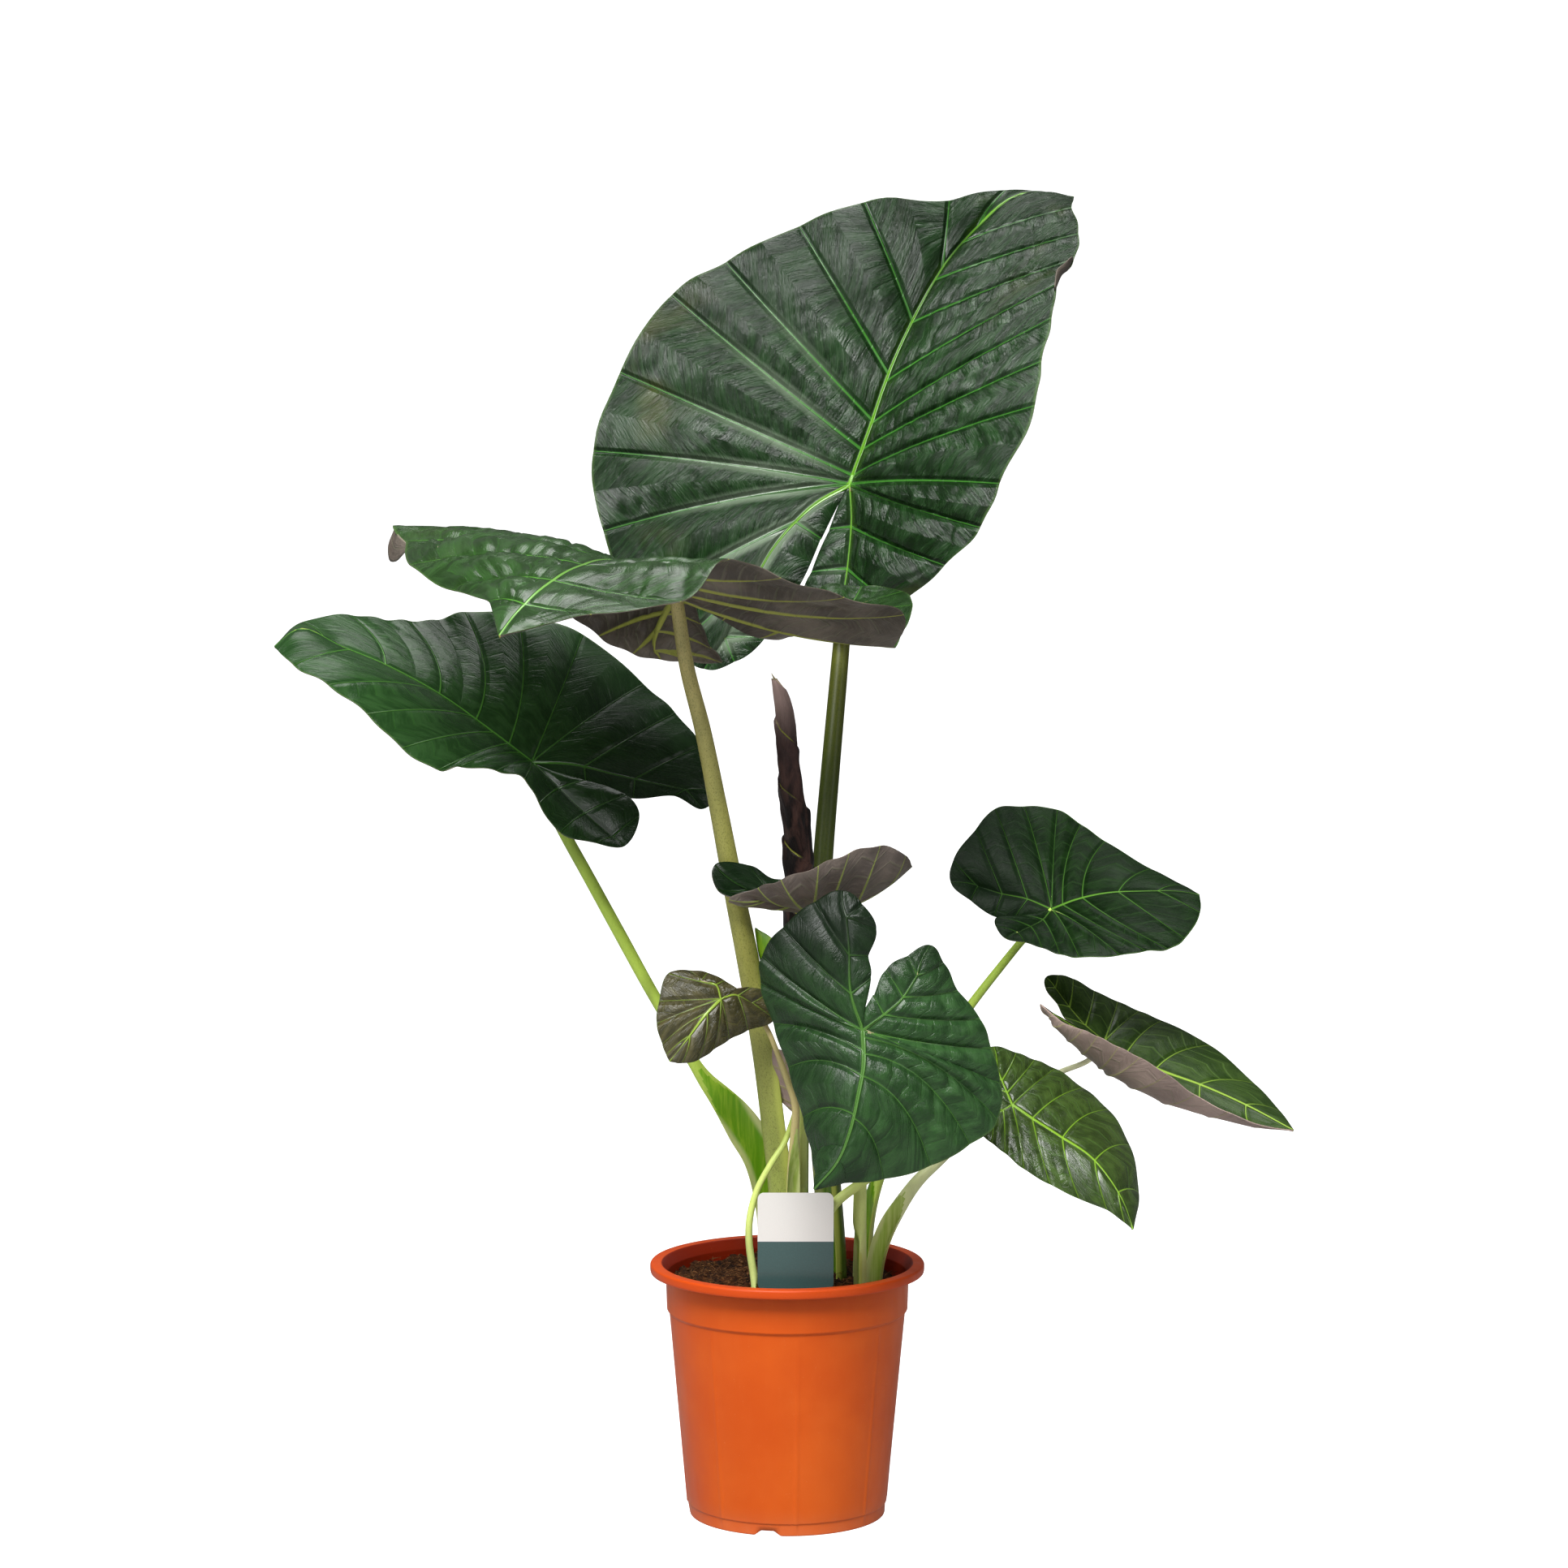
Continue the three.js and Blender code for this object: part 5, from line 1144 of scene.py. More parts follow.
def build_label(materials):
    """A card with rounded corners on its stake."""
    outline = []

    def arc(x, z, start):
        for turn in np.radians(np.linspace(start, start + 90, 10)):
            outline.append((x + LABEL_CORNER * math.cos(turn), z + LABEL_CORNER * math.sin(turn)))

    left, right = LABEL_LEFT + LABEL_CORNER, LABEL_RIGHT - LABEL_CORNER
    low, high = LABEL_BOTTOM + LABEL_CORNER, LABEL_TOP - LABEL_CORNER
    middle = (LABEL_LEFT + LABEL_RIGHT) / 2
    stake = STAKE_WIDTH / 2
    arc(right, high, 0)
    arc(left, high, 90)
    arc(left, low, 180)
    outline += [
        (middle - stake, LABEL_BOTTOM), (middle - stake, STAKE_BOTTOM + STAKE_POINT), (middle, STAKE_BOTTOM),
        (middle + stake, STAKE_BOTTOM + STAKE_POINT), (middle + stake, LABEL_BOTTOM),
    ]
    arc(right, low, 270)
    count = len(outline)
    points = []
    for depth in (LABEL_DEPTH - LABEL_THICKNESS / 2, LABEL_DEPTH + LABEL_THICKNESS / 2):
        points += [(x, depth, z) for x, z in outline]
    sharp = [1] * count + [2] * count
    faces = tube_faces(2, count)
    return add_piece("plant_label", points, faces, "plant_label", materials, sharp=sharp)


# Materials
class Paint:
    """A node material built by short calls. Values may be numbers, colours or other nodes' outputs."""

    def __init__(self, name):
        self.material = bpy.data.materials.new(name)
        self.material.use_nodes = True
        self.tree = self.material.node_tree
        self.shader = self.tree.nodes["Principled BSDF"]

    def node(self, kind, settings=None, **values):
        made = self.tree.nodes.new(kind)
        for key, value in (settings or {}).items():
            setattr(made, key, value)
        for key, value in values.items():
            self.put(made.inputs[key.replace("_", " ")], value)
        return made

    def put(self, socket, value):
        if isinstance(value, bpy.types.NodeSocket):
            self.tree.links.new(value, socket)
        else:
            socket.default_value = colour(value) if isinstance(value, str) else value

    def math(self, operation, one, other=0.0):
        made = self.node("ShaderNodeMath", {"operation": operation})
        self.put(made.inputs[0], one)
        self.put(made.inputs[1], other)
        return made.outputs[0]

    def times(self, one, other):
        return self.math("MULTIPLY", one, other)

    def plus(self, one, other):
        return self.math("ADD", one, other)

    def ramp(self, value, low, high, start=0.0, end=1.0, smooth=True):
        style = {"interpolation_type": "SMOOTHSTEP" if smooth else "LINEAR"}
        ends = {"From_Min": low, "From_Max": high, "To_Min": start, "To_Max": end}
        return self.node("ShaderNodeMapRange", style, Value=value, **ends).outputs[0]

    def coats(self, base, *coats):
        """A base colour with further colours laid over it in turn, each by its share."""
        for share, over in coats:
            made = self.node("ShaderNodeMix", {"data_type": "RGBA"})
            for index, value in ((0, share), (6, base), (7, over)):
                self.put(made.inputs[index], value)
            base = made.outputs[2]
        return base

    def parts(self, vector):
        return self.node("ShaderNodeSeparateXYZ", Vector=vector).outputs

    def layer(self, name):
        return self.parts(self.node("ShaderNodeUVMap", {"uv_map": name}).outputs[0])[:2]

    def place(self):
        return self.node("ShaderNodeTexCoord").outputs["Object"]

    def noise(self, vector, scale, detail=3.0, rough=0.5, distortion=0.0):
        """Noise at a scale, or at one for each axis."""
        if isinstance(scale, tuple):
            vector = self.node("ShaderNodeMapping", Vector=vector, Scale=scale).outputs[0]
            scale = 1.0
        return self.node("ShaderNodeTexNoise", Vector=vector, Scale=scale, Detail=detail, Roughness=rough,
                         Distortion=distortion).outputs[0]

    def bump(self, height, distance, strength=1.0, **normal):
        return self.node("ShaderNodeBump", Height=height, Strength=strength, Distance=distance,
                         **normal).outputs[0]

    def finish(self, **values):
        for key, value in values.items():
            self.put(self.shader.inputs[key.replace("_", " ")], value)
        return self.material


def colour(text):
    """A linear colour from a #rrggbb one."""
    parts = [int(text[index:index + 2], 16) / 255 for index in (1, 3, 5)]
    linear = [part / 12.92 if part <= 0.04045 else ((part + 0.055) / 1.055) ** 2.4 for part in parts]
    return (*linear, 1.0)


def vein_masks(paint, main_width, side_width):
    """Where the main veins, the midrib and the small veins are, from 0 to 1, and what the skin follows."""
    from_vein, from_spine = (paint.times(part, 100.0) for part in paint.layer("veins"))
    spine_share, reach = paint.layer("shares")
    phase, share = paint.layer("weave")
    phase = paint.times(phase, 10.0)
    panel, _ = paint.layer("panel")
    vein_half = paint.ramp(reach, 0.0, 1.0, main_width * 0.5, main_width * 0.17, smooth=False)
    spine_half = paint.ramp(spine_share, 0.0, 1.0, main_width * 0.95, main_width * 0.3, smooth=False)
    on_spine = paint.math("SUBTRACT", from_spine, spine_half)
    nearest = paint.math("MINIMUM", paint.math("SUBTRACT", from_vein, vein_half), on_spine)
    cycle = paint.times(paint.math("PINGPONG", phase, 0.5), VEIN_SPACING)
    side = paint.ramp(cycle, side_width * 0.4, side_width * 1.4, 1.0, 0.0)
    side = paint.times(side, paint.ramp(from_spine, 5.0, 16.0))
    side = paint.times(side, paint.ramp(reach, 0.88, 0.97, 1.0, 0.0))
    flow = paint.node("ShaderNodeCombineXYZ", X=phase, Y=share, Z=paint.times(panel, 73.0)).outputs[0]
    return {
        "vein": paint.ramp(nearest, -0.4, 0.35, 1.0, 0.0),
        "spine": paint.ramp(on_spine, -0.6, 0.4, 1.0, 0.0),
        "side": side,
        "reach": reach,
        "nearest": nearest,
        "flow": flow,
    }


def leaf_top(name, dark, light, vein, midrib, side, main_width, gloss, edge="#4d6a35", vein_strength=0.9,
             side_strength=0.3, feather=1.0, shine=0.5, warm=0.0, painted_sheen=0.0, painted_vein_sheen=0.0, painted_shade=()):
    """A leaf's upper side: dark and glossy, with green veins and a skin brushed along its small veins.

    Painted sheen: a pale sheen brushed along its small veins, and a pale sheen painted beside its veins on
    the side towards -X. Each painted shade darkens it along an axis, from a place in millimetres to another,
    by a share, and roughens its gloss there."""
    paint = Paint(name)
    masks = vein_masks(paint, main_width, 0.7)
    flow, reach, nearest = masks["flow"], masks["reach"], masks["nearest"]
    place = paint.place()
    axes = dict(zip("XYZ", paint.parts(place)))
    broad = paint.noise(flow, (1.6, 1.7, 1.0), 3.0, 0.55)
    fine = paint.noise(flow, (7.5, 3.5, 1.0), 4.0, 0.6, 0.4)
    hair = paint.noise(flow, (24.0, 6.0, 1.0), 3.0, 0.6, 0.3)
    # Painted sheen: pale grey-green strokes along the small veins stand for the sheen of the light on the
    # skin
    painted_sheen_strokes = paint.times(paint.ramp(hair, 0.5, 0.68), paint.ramp(broad, 0.4, 0.62))
    patches = paint.ramp(paint.noise(place, 11.0, 3.0, 0.6), 0.5, 0.72, 0.0, warm)
    # Painted sheen: a pale sheen beside the veins, on the side towards -X and away from the margin
    pale = paint.times(paint.ramp(nearest, 0.5, 6.5, painted_vein_sheen, 0.0), paint.ramp(axes["X"], 0.06, -0.02))
    pale = paint.times(pale, paint.ramp(reach, 0.25, 0.9, 1.0, 0.0))
    base = paint.coats(
        dark,
        (paint.ramp(broad, 0.38, 0.66), light),
        (paint.ramp(fine, 0.45, 0.7, 0.0, 0.4), light),
        # painted sheen
        (paint.times(painted_sheen_strokes, painted_sheen), "#6f7f68"),
        (paint.times(patches, paint.ramp(reach, 0.55, 0.95)), "#5a5a2c"),
        (paint.times(masks["side"], side_strength), side),
        (pale, PAINTED_SHEEN_COLOUR),
        (paint.times(masks["vein"], vein_strength), vein),
        (paint.times(pale, 0.8), PAINTED_SHEEN_COLOUR),
        (paint.times(masks["spine"], vein_strength), midrib),
        (paint.ramp(reach, 0.985, 0.999, 0.0, 0.6), edge),
    )
    # Painted shade: each entry darkens the base colour towards a near-black green along an axis and roughens
    # the gloss there
    dull = 0.0
    for axis, near, far, depth in painted_shade:
        darkness = paint.ramp(axes[axis], near * MM, far * MM, 0.0, depth)
        base = paint.coats(base, (darkness, "#0a150a"))
        dull = paint.plus(dull, paint.times(darkness, 0.1))
    skin = paint.plus(paint.times(fine, 0.9), paint.times(hair, 0.35))
    height = paint.times(paint.plus(skin, paint.times(broad, 1.6)), paint.ramp(nearest, 0.2, 3.5))
    height = paint.plus(paint.times(height, feather), paint.times(masks["vein"], 1.1))
    height = paint.math("SUBTRACT", height, paint.times(masks["side"], 0.3 * min(1, feather)))
    grain = paint.bump(paint.noise(place, 1600.0, 2.0, 0.6), 0.00008, 0.3)
    cloudy = paint.plus(fine, paint.noise(place, 30.0, 3.0))
    rough = paint.ramp(cloudy, 0.7, 1.3, gloss - 0.04, gloss + 0.1)
    return paint.finish(Base_Color=base, Roughness=paint.plus(rough, dull), Specular_IOR_Level=shine,
                        Normal=paint.bump(height, 0.0010, 0.85, Normal=grain))


def leaf_under(name, ground, tint, vein, main_width=3.2, vein_strength=0.9):
    """A leaf's underside: paler and duller, with standing ribs."""
    paint = Paint(name)
    masks = vein_masks(paint, main_width, 0.8)
    streaks = paint.noise(masks["flow"], (5.0, 2.5, 1.0), 4.0, 0.6, 0.3)
    cloud = paint.noise(paint.place(), 18.0, 4.0, 0.6)
    base = paint.coats(
        ground,
        (paint.ramp(cloud, 0.35, 0.7), tint),
        (paint.ramp(streaks, 0.5, 0.72, 0.0, 0.45), tint),
        (paint.ramp(streaks, 0.48, 0.3, 0.0, 0.3), ground),
        (paint.times(masks["side"], 0.22), "#7d8262"),
        (paint.times(masks["vein"], vein_strength), vein),
    )
    height = paint.plus(streaks, paint.times(masks["side"], 0.4))
    return paint.finish(Base_Color=base, Roughness=0.5, Specular_IOR_Level=0.45,
                        Normal=paint.bump(height, 0.0009, 0.8))


def stalk_paint(name, low, high, top, speckle="#4a5426", speckle_strength=0.45):
    """A stalk's skin: colour that changes up its length, fine streaks along it and small dark flecks."""
    paint = Paint(name)
    height, _ = paint.layer("stalk")
    edge, _ = paint.layer("sheath")
    place = paint.place()
    cloud = paint.noise(place, (30.0, 30.0, 12.0), 3.0, 0.6)
    streaks = paint.noise(place, (520.0, 520.0, 16.0), 3.0, 0.6)
    flecks = paint.noise(place, (1100.0, 1100.0, 660.0), 2.0, 0.7)
    base = paint.coats(
        low,
        (paint.ramp(height, 0.05, 0.55), high),
        (paint.ramp(height, 0.6, 1.0), top),
        (paint.ramp(cloud, 0.42, 0.7, 0.0, 0.35), speckle),
        (paint.ramp(streaks, 0.45, 0.75, 0.0, 0.1), top),
        (paint.ramp(flecks, 0.5, 0.66, 0.0, speckle_strength), speckle),
        (paint.ramp(edge, 0.82, 0.97, 0.0, 0.8), "#c5cf63"),
    )
    bump = paint.bump(paint.plus(streaks, paint.times(flecks, 0.4)), 0.0003, 0.3)
    return paint.finish(Base_Color=base, Roughness=0.4, Normal=bump, Specular_IOR_Level=0.35,
                        Subsurface_Weight=0.05, Subsurface_Radius=(0.004, 0.006, 0.002))


def sheath_inside(name, low, high):
    """The vivid inner face of a sheath."""
    paint = Paint(name)
    edge, _ = paint.layer("sheath")
    streaks = paint.noise(paint.place(), (340.0, 340.0, 12.0), 3.0, 0.6)
    base = paint.coats(
        low,
        (paint.ramp(streaks, 0.35, 0.7), high),
        (paint.ramp(edge, 0.5, 0.82), "#d3dc92"),
    )
    return paint.finish(Base_Color=base, Roughness=0.45, Normal=paint.bump(streaks, 0.0004, 0.6),
                        Coat_Weight=0.2, Coat_Roughness=0.3)


def young_paint():
    """The rolled leaf: purple-brown, mauve where it is loose at the tip, with a yellow-green rolled edge."""
    paint = Paint("young_leaf_skin")
    height, share = paint.layer("roll")
    place = paint.place()
    cloud = paint.noise(place, (90.0, 90.0, 31.5), 4.0, 0.65, 0.6)
    wrinkles = paint.noise(place, (230.0, 230.0, 50.6), 4.0, 0.65, 0.8)
    broken = paint.ramp(paint.noise(place, 26.0, 2.0), 0.42, 0.55)
    edge = paint.times(paint.ramp(share, 0.02, 0.045, 1.0, 0.0), broken)
    base = paint.coats(
        "#120b0b",
        (paint.ramp(cloud, 0.42, 0.66), "#46302a"),
        (paint.ramp(height, 0.62, 0.78, 0.0, 0.45), "#4e3a37"),
        (paint.ramp(height, 0.76, 0.9, 0.0, 0.9), "#a28a83"),
        (paint.times(edge, paint.ramp(height, 0.36, 0.44)), "#9a9c45"),
        (paint.times(paint.ramp(share, 0.03, 0.09, 1.0, 0.0), paint.ramp(height, 0.8, 0.84)), "#cdbd93"),
        (paint.ramp(height, 0.985, 1.0, 0.0, 0.7), "#6d6a3c"),
        (paint.ramp(height, 0.3, 0.37, 0.9, 0.0), "#7f9440"),
    )
    return paint.finish(Base_Color=base, Roughness=0.4, Normal=paint.bump(wrinkles, 0.0016, 0.9),
                        Specular_IOR_Level=0.22)


def pot_paint():
    """Moulded terracotta-coloured plastic: satin, darker and redder on the rim, and darkened inside by
    painted shade.
    """
    paint = Paint("pot_plastic_moulded")
    place = paint.place()
    x, y, height = paint.parts(place)
    radius = paint.math("SQRT", paint.plus(paint.times(x, x), paint.times(y, y)))
    drawn = paint.noise(place, (70.0, 70.0, 16.0), 4.0, 0.65)
    painted_shade_inside = paint.ramp(paint.math("SUBTRACT", radius, wall_radius(paint, height)), 0.0003, -0.0003)
    dust = paint.times(paint.ramp(height, 0.024, 0.0, 0.0, 0.3), paint.noise(place, 60.0, 4.0, 0.7))
    base = paint.coats(
        "#cd510f",
        (paint.ramp(paint.noise(place, 7.0, 4.0, 0.6), 0.35, 0.7), "#da5f18"),
        (paint.ramp(drawn, 0.45, 0.75, 0.0, 0.18), "#d86422"),
        (paint.ramp(height, 0.1885, 0.1905, 0.0, 0.8), "#c2420e"),
        # Painted shade: the inside wall, from 24 mm up, is painted a dark red
        (paint.times(painted_shade_inside, paint.ramp(height, 0.020, 0.024)), "#7e1e05"),
        (paint.ramp(paint.noise(place, 700.0, 2.0, 0.7), 0.7, 0.76, 0.0, 0.5), "#e08a5a"),
        (dust, "#b98a6c"),
    )
    grain = paint.bump(paint.noise(place, 1500.0, 2.0, 0.6), 0.00006, 0.4)
    return paint.finish(Base_Color=base, Roughness=paint.ramp(drawn, 0.3, 0.75, 0.34, 0.46), Normal=grain,
                        Specular_IOR_Level=0.22)


def wall_radius(paint, height):
    """The pot wall's middle radius at a height, which parts its outside from its inside."""
    low, high = (BODY_BOTTOM_RADIUS - WALL / 2) * MM, (BODY_TOP_RADIUS - WALL / 2) * MM
    slope = paint.ramp(height, FOOT_HEIGHT * MM, BODY_TOP * MM, low, high, smooth=False)
    collar = paint.ramp(height, BODY_TOP * MM, COLLAR_BOTTOM * MM, 0.0, 0.0024, smooth=False)
    flare = paint.ramp(height, 0.189, 0.196, 0.0, 0.0046, smooth=False)
    return paint.plus(paint.plus(slope, collar), flare)


def peat_paint(name, dark, brown, light):
    """Dark moist peat with paler fibres."""
    paint = Paint(name)
    place = paint.place()
    base = paint.coats(
        dark,
        (paint.ramp(paint.noise(place, 120.0, 5.0, 0.7), 0.35, 0.7), brown),
        (paint.ramp(paint.noise(place, 420.0, 3.0, 0.7), 0.58, 0.72, 0.0, 0.7), light),
    )
    height = paint.plus(paint.noise(place, 300.0, 5.0, 0.75), paint.noise(place, 1100.0, 3.0, 0.7))
    return paint.finish(Base_Color=base, Roughness=0.92, Normal=paint.bump(height, 0.0012, 1.0),
                        Specular_IOR_Level=0.15)


def label_paint():
    """Smooth card, off-white above a straight boundary and dark teal below it, pale along its lower edge."""
    paint = Paint("label_two_colour")
    place = paint.place()
    height = paint.parts(place)[2]
    fibre = paint.noise(place, 700.0, 3.0, 0.6)
    pale = paint.coats("#d8d5d0", (paint.ramp(fibre, 0.4, 0.7, 0.0, 0.12), "#cdcac4"))
    deep = paint.coats("#37504e", (paint.ramp(fibre, 0.4, 0.7, 0.0, 0.2), "#456260"))
    boundary = LABEL_BOUNDARY * MM
    base = paint.coats(
        pale,
        (paint.ramp(height, boundary - 0.0001, boundary + 0.0001, 1.0, 0.0), deep),
        (paint.ramp(height, 0.1912, 0.1906), "#e8e5e0"),
    )
    return paint.finish(Base_Color=base, Roughness=0.32, Normal=paint.bump(fibre, 0.00008, 0.5),
                        Coat_Weight=0.3, Coat_Roughness=0.15)


# The plant
# Several tops are darkened by painted shade along an axis; the crown top also carries painted sheen
TOPS = {
    "crown": leaf_top(
        "crown_top", "#0e230b", "#1a3916", "#397626", "#6fa530", side="#15350c", main_width=2.7, gloss=0.18,
        feather=1.6, side_strength=0.4, warm=0.5, shine=0.42, painted_sheen=0.22, painted_vein_sheen=0.4,
        painted_shade=[("Z", 890, 950, 0.3), ("X", 60, -40, 0.12)]),
    "level": leaf_top(
        "level_top", "#1c3513", "#2e4d24", "#4f8a30", "#6fa245", side="#2e5c1c", main_width=2.4, gloss=0.16,
        feather=0.5, warm=0.1, shine=0.42, painted_shade=[("X", -200, -130, 0.3)]),
    "left": leaf_top(
        "left_top", "#1d3819", "#2a4824", "#42732b", "#4c852f", side="#2d5322", main_width=1.7, gloss=0.16,
        feather=0.3, shine=0.2, painted_shade=[("X", -240, -110, 0.7)]),
    "front": leaf_top(
        "front_top", "#233f1f", "#34562d", "#4d7c36", "#5a8a3c", side="#315527", main_width=1.8, gloss=0.19,
        feather=0.7, shine=0.27, painted_shade=[("X", 110, 20, 0.45), ("Z", 410, 480, 0.85)]),
    "bronze": leaf_top(
        "bronze_top", "#37351b", "#524d2e", "#86a33a", "#98b53e", side="#62622f", main_width=1.2, gloss=0.2,
        vein_strength=0.85),
    "right": leaf_top(
        "right_top", "#091a06", "#13280d", "#426c2a", "#55842c", side="#223f16", main_width=1.3, gloss=0.34,
        feather=0.4, shine=0.06, painted_shade=[("X", 225, 150, 0.7)]),
    "outer": leaf_top(
        "outer_top", "#20350d", "#33491b", "#7b9c38", "#8aaa40", side="#4b662c", main_width=1.5, gloss=0.34,
        feather=0.4, side_strength=0.6, shine=0.14),
    "low": leaf_top(
        "low_top", "#283a14", "#3f5623", "#78a32c", "#85b232", side="#46652c", main_width=1.5, gloss=0.15,
        feather=0.6, side_strength=0.45, shine=0.5),
}
UNDERS = {
    "level": leaf_under("level_under", "#484037", "#796f63", "#a9ae4a", main_width=2.4),
    "dark": leaf_under("dark_under", "#5b5f4c", "#72755c", "#8f9f4c"),
    "mauve": leaf_under("mauve_under", "#8a7770", "#b09a90", "#a8a468", vein_strength=0.6, main_width=2.2),
    "fold": leaf_under("fold_under", "#5f554c", "#857a6e", "#8c8a5c", vein_strength=0.3, main_width=1.6),
    "cupped": leaf_under("cupped_under", "#544b45", "#7d7167", "#9cab52", main_width=2.0),
}
INSIDE = sheath_inside("sheath_inside", "#68a20a", "#94bd30")
PALE_INSIDE = sheath_inside("sheath_inside_pale", "#a4bf4c", "#c9d97e")
STALK_SKINS = {
    "khaki": stalk_paint("khaki_stalk", "#4a6212", "#414e10", "#77752a", speckle="#303d0c",
                         speckle_strength=0.5),
    "tan": stalk_paint("tan_stalk", "#a9ba5a", "#adac58", "#c6b878"),
    "lime": stalk_paint("lime_stalk", "#c9e06a", "#b2ce52", "#a6c64c", speckle_strength=0.12),
    # Partly the stalk's own pale colour, partly painted light: brightened to stand for the backlight on this
    # thin stalk
    "pale_painted_backlight": stalk_paint("pale_painted_backlight_stalk", "#dfe99c", "#eef4bc", "#f3f6cc", speckle_strength=0.05),
    "pale": stalk_paint("pale_stalk", "#dbe894", "#cfdf7c", "#bed468", speckle_strength=0.08),
    "straw": stalk_paint("straw_stalk", "#d3e085", "#cbbd80", "#b8a872", speckle_strength=0.1),
}

# For each blade: its upper skin, its underside, its slot, its grid's columns, and how strongly each half is
# creased and wrinkled
BLADE_DRESS = {
    "leaf_crown": ("crown", "dark", "leaf_blade", 84, (0.8, 1.7)),
    "leaf_level": ("level", "level", "leaf_blade", 64, (2.2, 1.2)),
    "leaf_left": ("left", "dark", "leaf_blade", 60, (0.15, 0.1)),
    "leaf_cupped": ("left", "cupped", "leaf_blade", 36, (0.5, 0.5)),
    "leaf_front": ("front", "mauve", "leaf_blade", 56, (0.35, 1.2)),
    "leaf_bronze": ("bronze", "mauve", "bronze_blade", 36, (0.5, 0.5)),
    "leaf_right_high": ("right", "dark", "leaf_blade", 44, (0.15, 0.15)),
    "leaf_right_outer": ("outer", "mauve", "leaf_blade", 44, (0.15, 0.15)),
    "leaf_right_low": ("low", "mauve", "leaf_blade", 44, (0.25, 0.25)),
    "leaf_small": ("left", "mauve", "leaf_blade", 28, (0.4, 0.4)),
}
STALK_DRESS = {
    "stalk_level": ("tan", INSIDE), "stalk_crown": ("khaki", INSIDE), "stalk_left": ("lime", INSIDE),
    "stalk_front": ("pale", PALE_INSIDE), "stalk_cupped": ("pale", PALE_INSIDE),
    "stalk_bronze": ("straw", PALE_INSIDE), "stalk_small": ("pale", PALE_INSIDE),
    "stalk_right_high": ("lime", INSIDE), "stalk_right_outer": ("pale_painted_backlight", PALE_INSIDE),
    "stalk_right_low": ("pale", PALE_INSIDE),
}

for seed, (name, (top, under, slot, steps, puckers)) in enumerate(BLADE_DRESS.items(), 1):
    build_blade(name, BLADES[name], [TOPS[top], UNDERS[under]], steps, puckers, seed)
level_skins = [TOPS["level"], UNDERS["fold"]]
crown_skins = [TOPS["crown"], UNDERS["level"]]
build_fold("leaf_level_fold", "leaf_level", *LEVEL_FOLD, level_skins, "leaf_blade", (0, -2, 0))
build_fold("leaf_crown_fold", "leaf_crown", *CROWN_FOLD, crown_skins, "leaf_blade", (0, -5, 0))
build_fold("stalk_level_flap", "stalk_level", *SHEATH_TIP, [INSIDE, INSIDE], "leaf_stalk", (0, -3, 0))
for name, (skin, inside) in STALK_DRESS.items():
    build_stalk(name, STALKS[name], [STALK_SKINS[skin], inside])
build_young_leaf([young_paint()])
build_pot([pot_paint()])
build_soil([peat_paint("peat_crumbs", "#150a04", "#4c2a12", "#86592f")])
build_fibres([peat_paint("peat_fibre", "#3c2413", "#7a5230", "#b58c5a")])
build_label([label_paint()])


# The studio
def seen_as(tree, real, shown):
    """A shader that is `real` to the light and `shown` to the camera."""
    light_path = tree.nodes.new("ShaderNodeLightPath")
    choose = tree.nodes.new("ShaderNodeMixShader")
    tree.links.new(light_path.outputs["Is Camera Ray"], choose.inputs[0])
    tree.links.new(real, choose.inputs[1])
    tree.links.new(shown, choose.inputs[2])
    return choose.outputs[0]


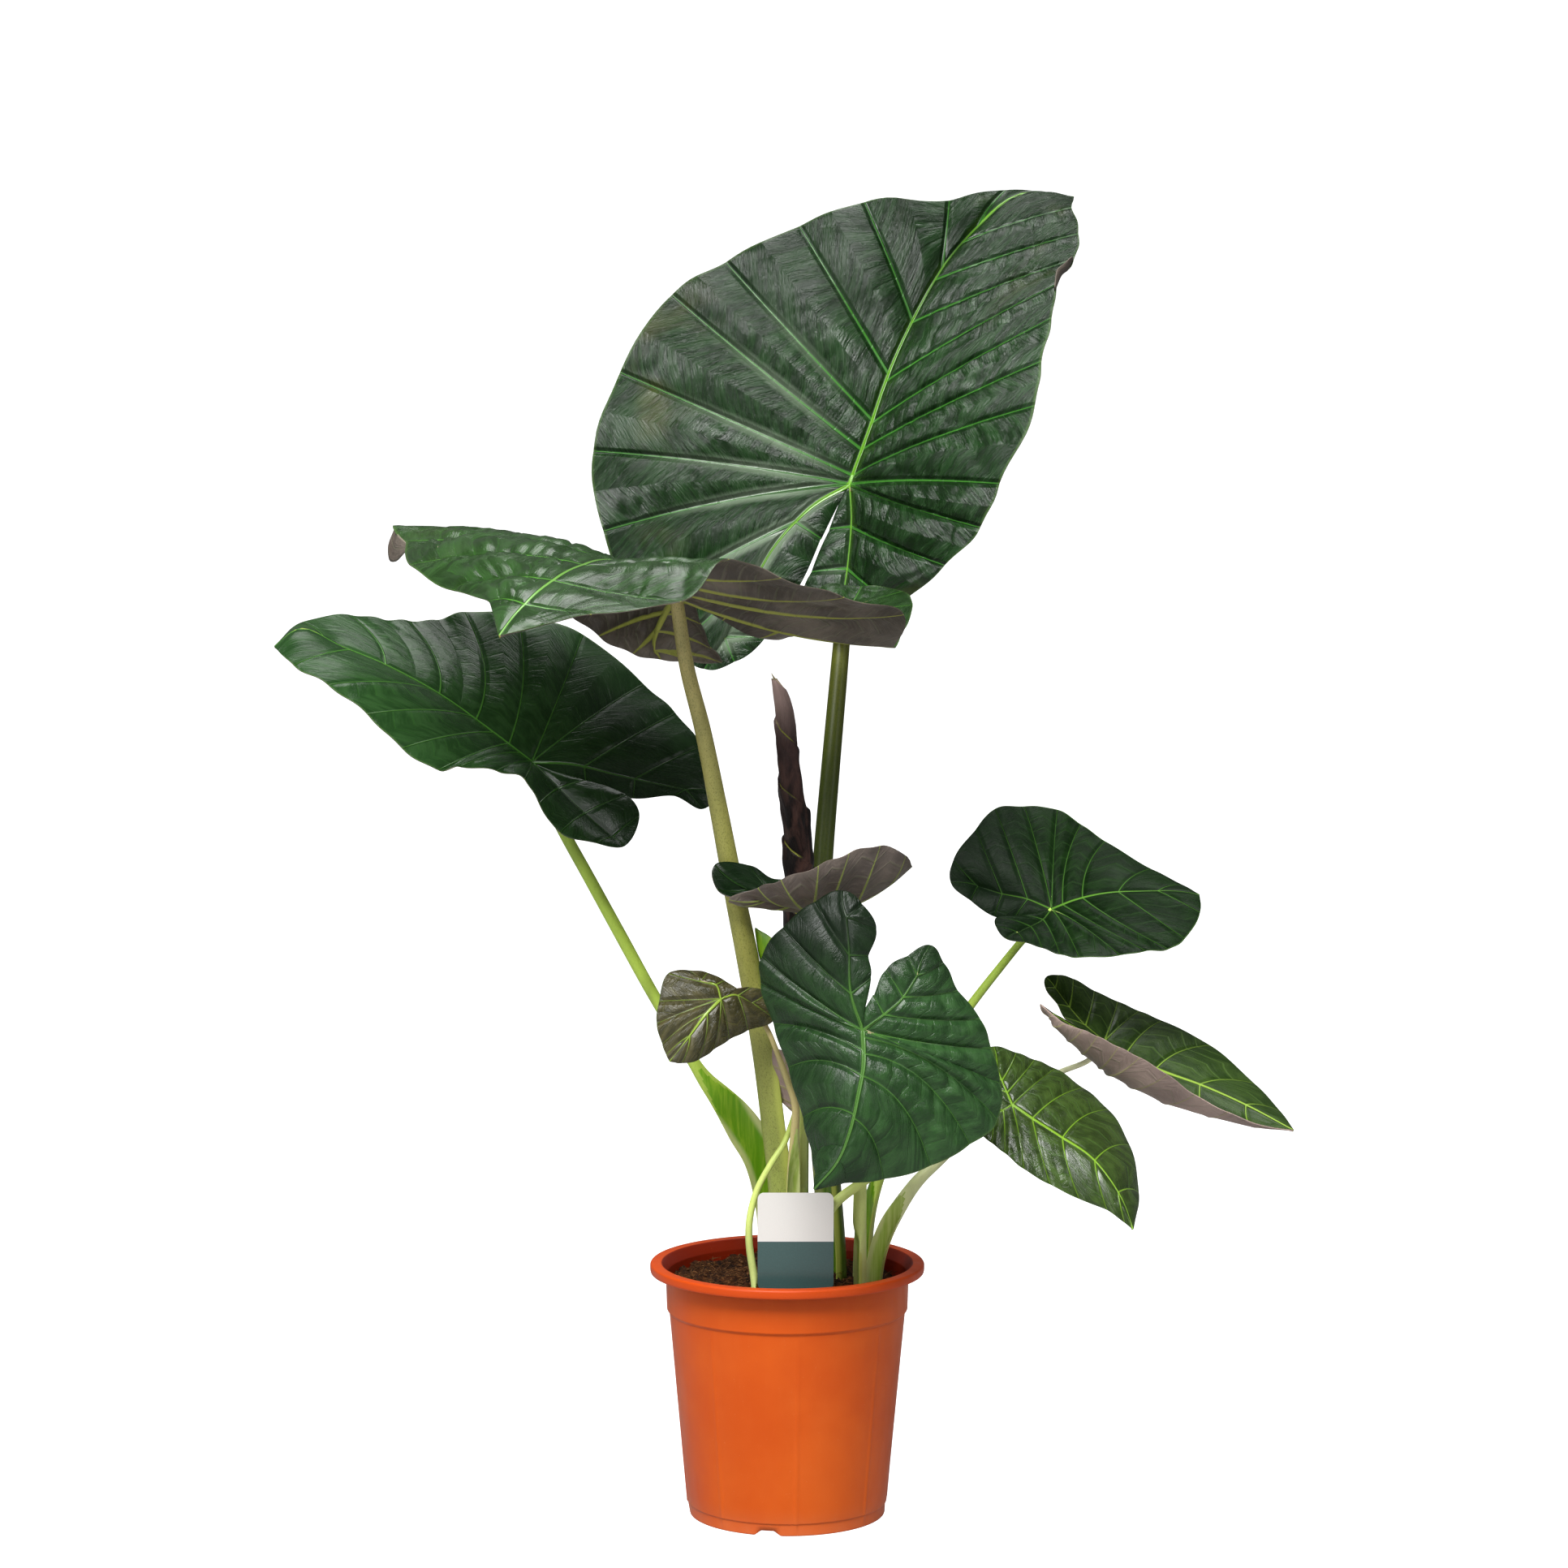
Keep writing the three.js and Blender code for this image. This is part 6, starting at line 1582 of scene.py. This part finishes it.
def add_stage():
    """A wide floor that glows to the camera, so that it shows white."""
    mesh = bpy.data.meshes.new("studio_floor")
    corners = [(x * FLOOR_SIZE, y * FLOOR_SIZE, 0) for x, y in ((-1, -1), (1, -1), (1, 1), (-1, 1))]
    mesh.from_pydata(corners, [], [(0, 1, 2, 3)])
    paint = Paint("studio_white")
    paint.finish(Base_Color=(*[FLOOR_WHITE] * 3, 1), Roughness=0.9, Specular_IOR_Level=0.2)
    skin = paint.shader.outputs[0]
    glowing = paint.node("ShaderNodeAddShader")
    paint.put(glowing.inputs[0], skin)
    paint.put(glowing.inputs[1], paint.node("ShaderNodeEmission", Strength=SEEN_WHITE).outputs[0])
    output = paint.tree.nodes["Material Output"]
    paint.put(output.inputs["Surface"], seen_as(paint.tree, skin, glowing.outputs[0]))
    mesh.materials.append(paint.material)
    floor = add_object("studio_floor", mesh)


def set_world():
    """Faint air light, seen as white by the camera."""
    world = bpy.data.worlds.new("studio_air")
    world.use_nodes = True
    tree = world.node_tree
    airs = [tree.nodes["Background"], tree.nodes.new("ShaderNodeBackground")]
    for air, strength in zip(airs, (WORLD_LIGHT, SEEN_WHITE)):
        air.inputs["Color"].default_value = (1, 1, 1, 1)
        air.inputs["Strength"].default_value = strength
    air = seen_as(tree, *(air.outputs[0] for air in airs))
    tree.links.new(air, tree.nodes["World Output"].inputs["Surface"])
    bpy.context.scene.world = world


def add_light(name, place, target, size, power):
    """A softbox that faces its target."""
    light = bpy.data.lights.new(name, "AREA")
    light.shape = "RECTANGLE"
    light.size, light.size_y = size
    light.energy = power
    lamp = add_object(name, light)
    lamp.location = place
    lamp.rotation_euler = (Vector(target) - Vector(place)).to_track_quat("-Z", "Y").to_euler()


def add_camera():
    """The photograph's eye."""
    camera = bpy.data.cameras.new("photo_eye")
    camera.sensor_width = SENSOR_MM
    camera.sensor_fit = "HORIZONTAL"
    camera.lens = SENSOR_MM * FOCAL_PIXELS / PICTURE_WIDTH
    camera.clip_start = 0.05
    camera.clip_end = 60
    eye = add_object("photo_eye", camera)
    eye.location = Vector(EYE) * MM
    eye.rotation_euler = (math.pi / 2 - EYE_PITCH, 0, 0)
    bpy.context.scene.camera = eye


add_stage()
add_camera()
set_world()
for name, softbox in SOFTBOXES.items():
    add_light(name, **softbox)
bpy.context.scene.view_settings.view_transform = "Standard"
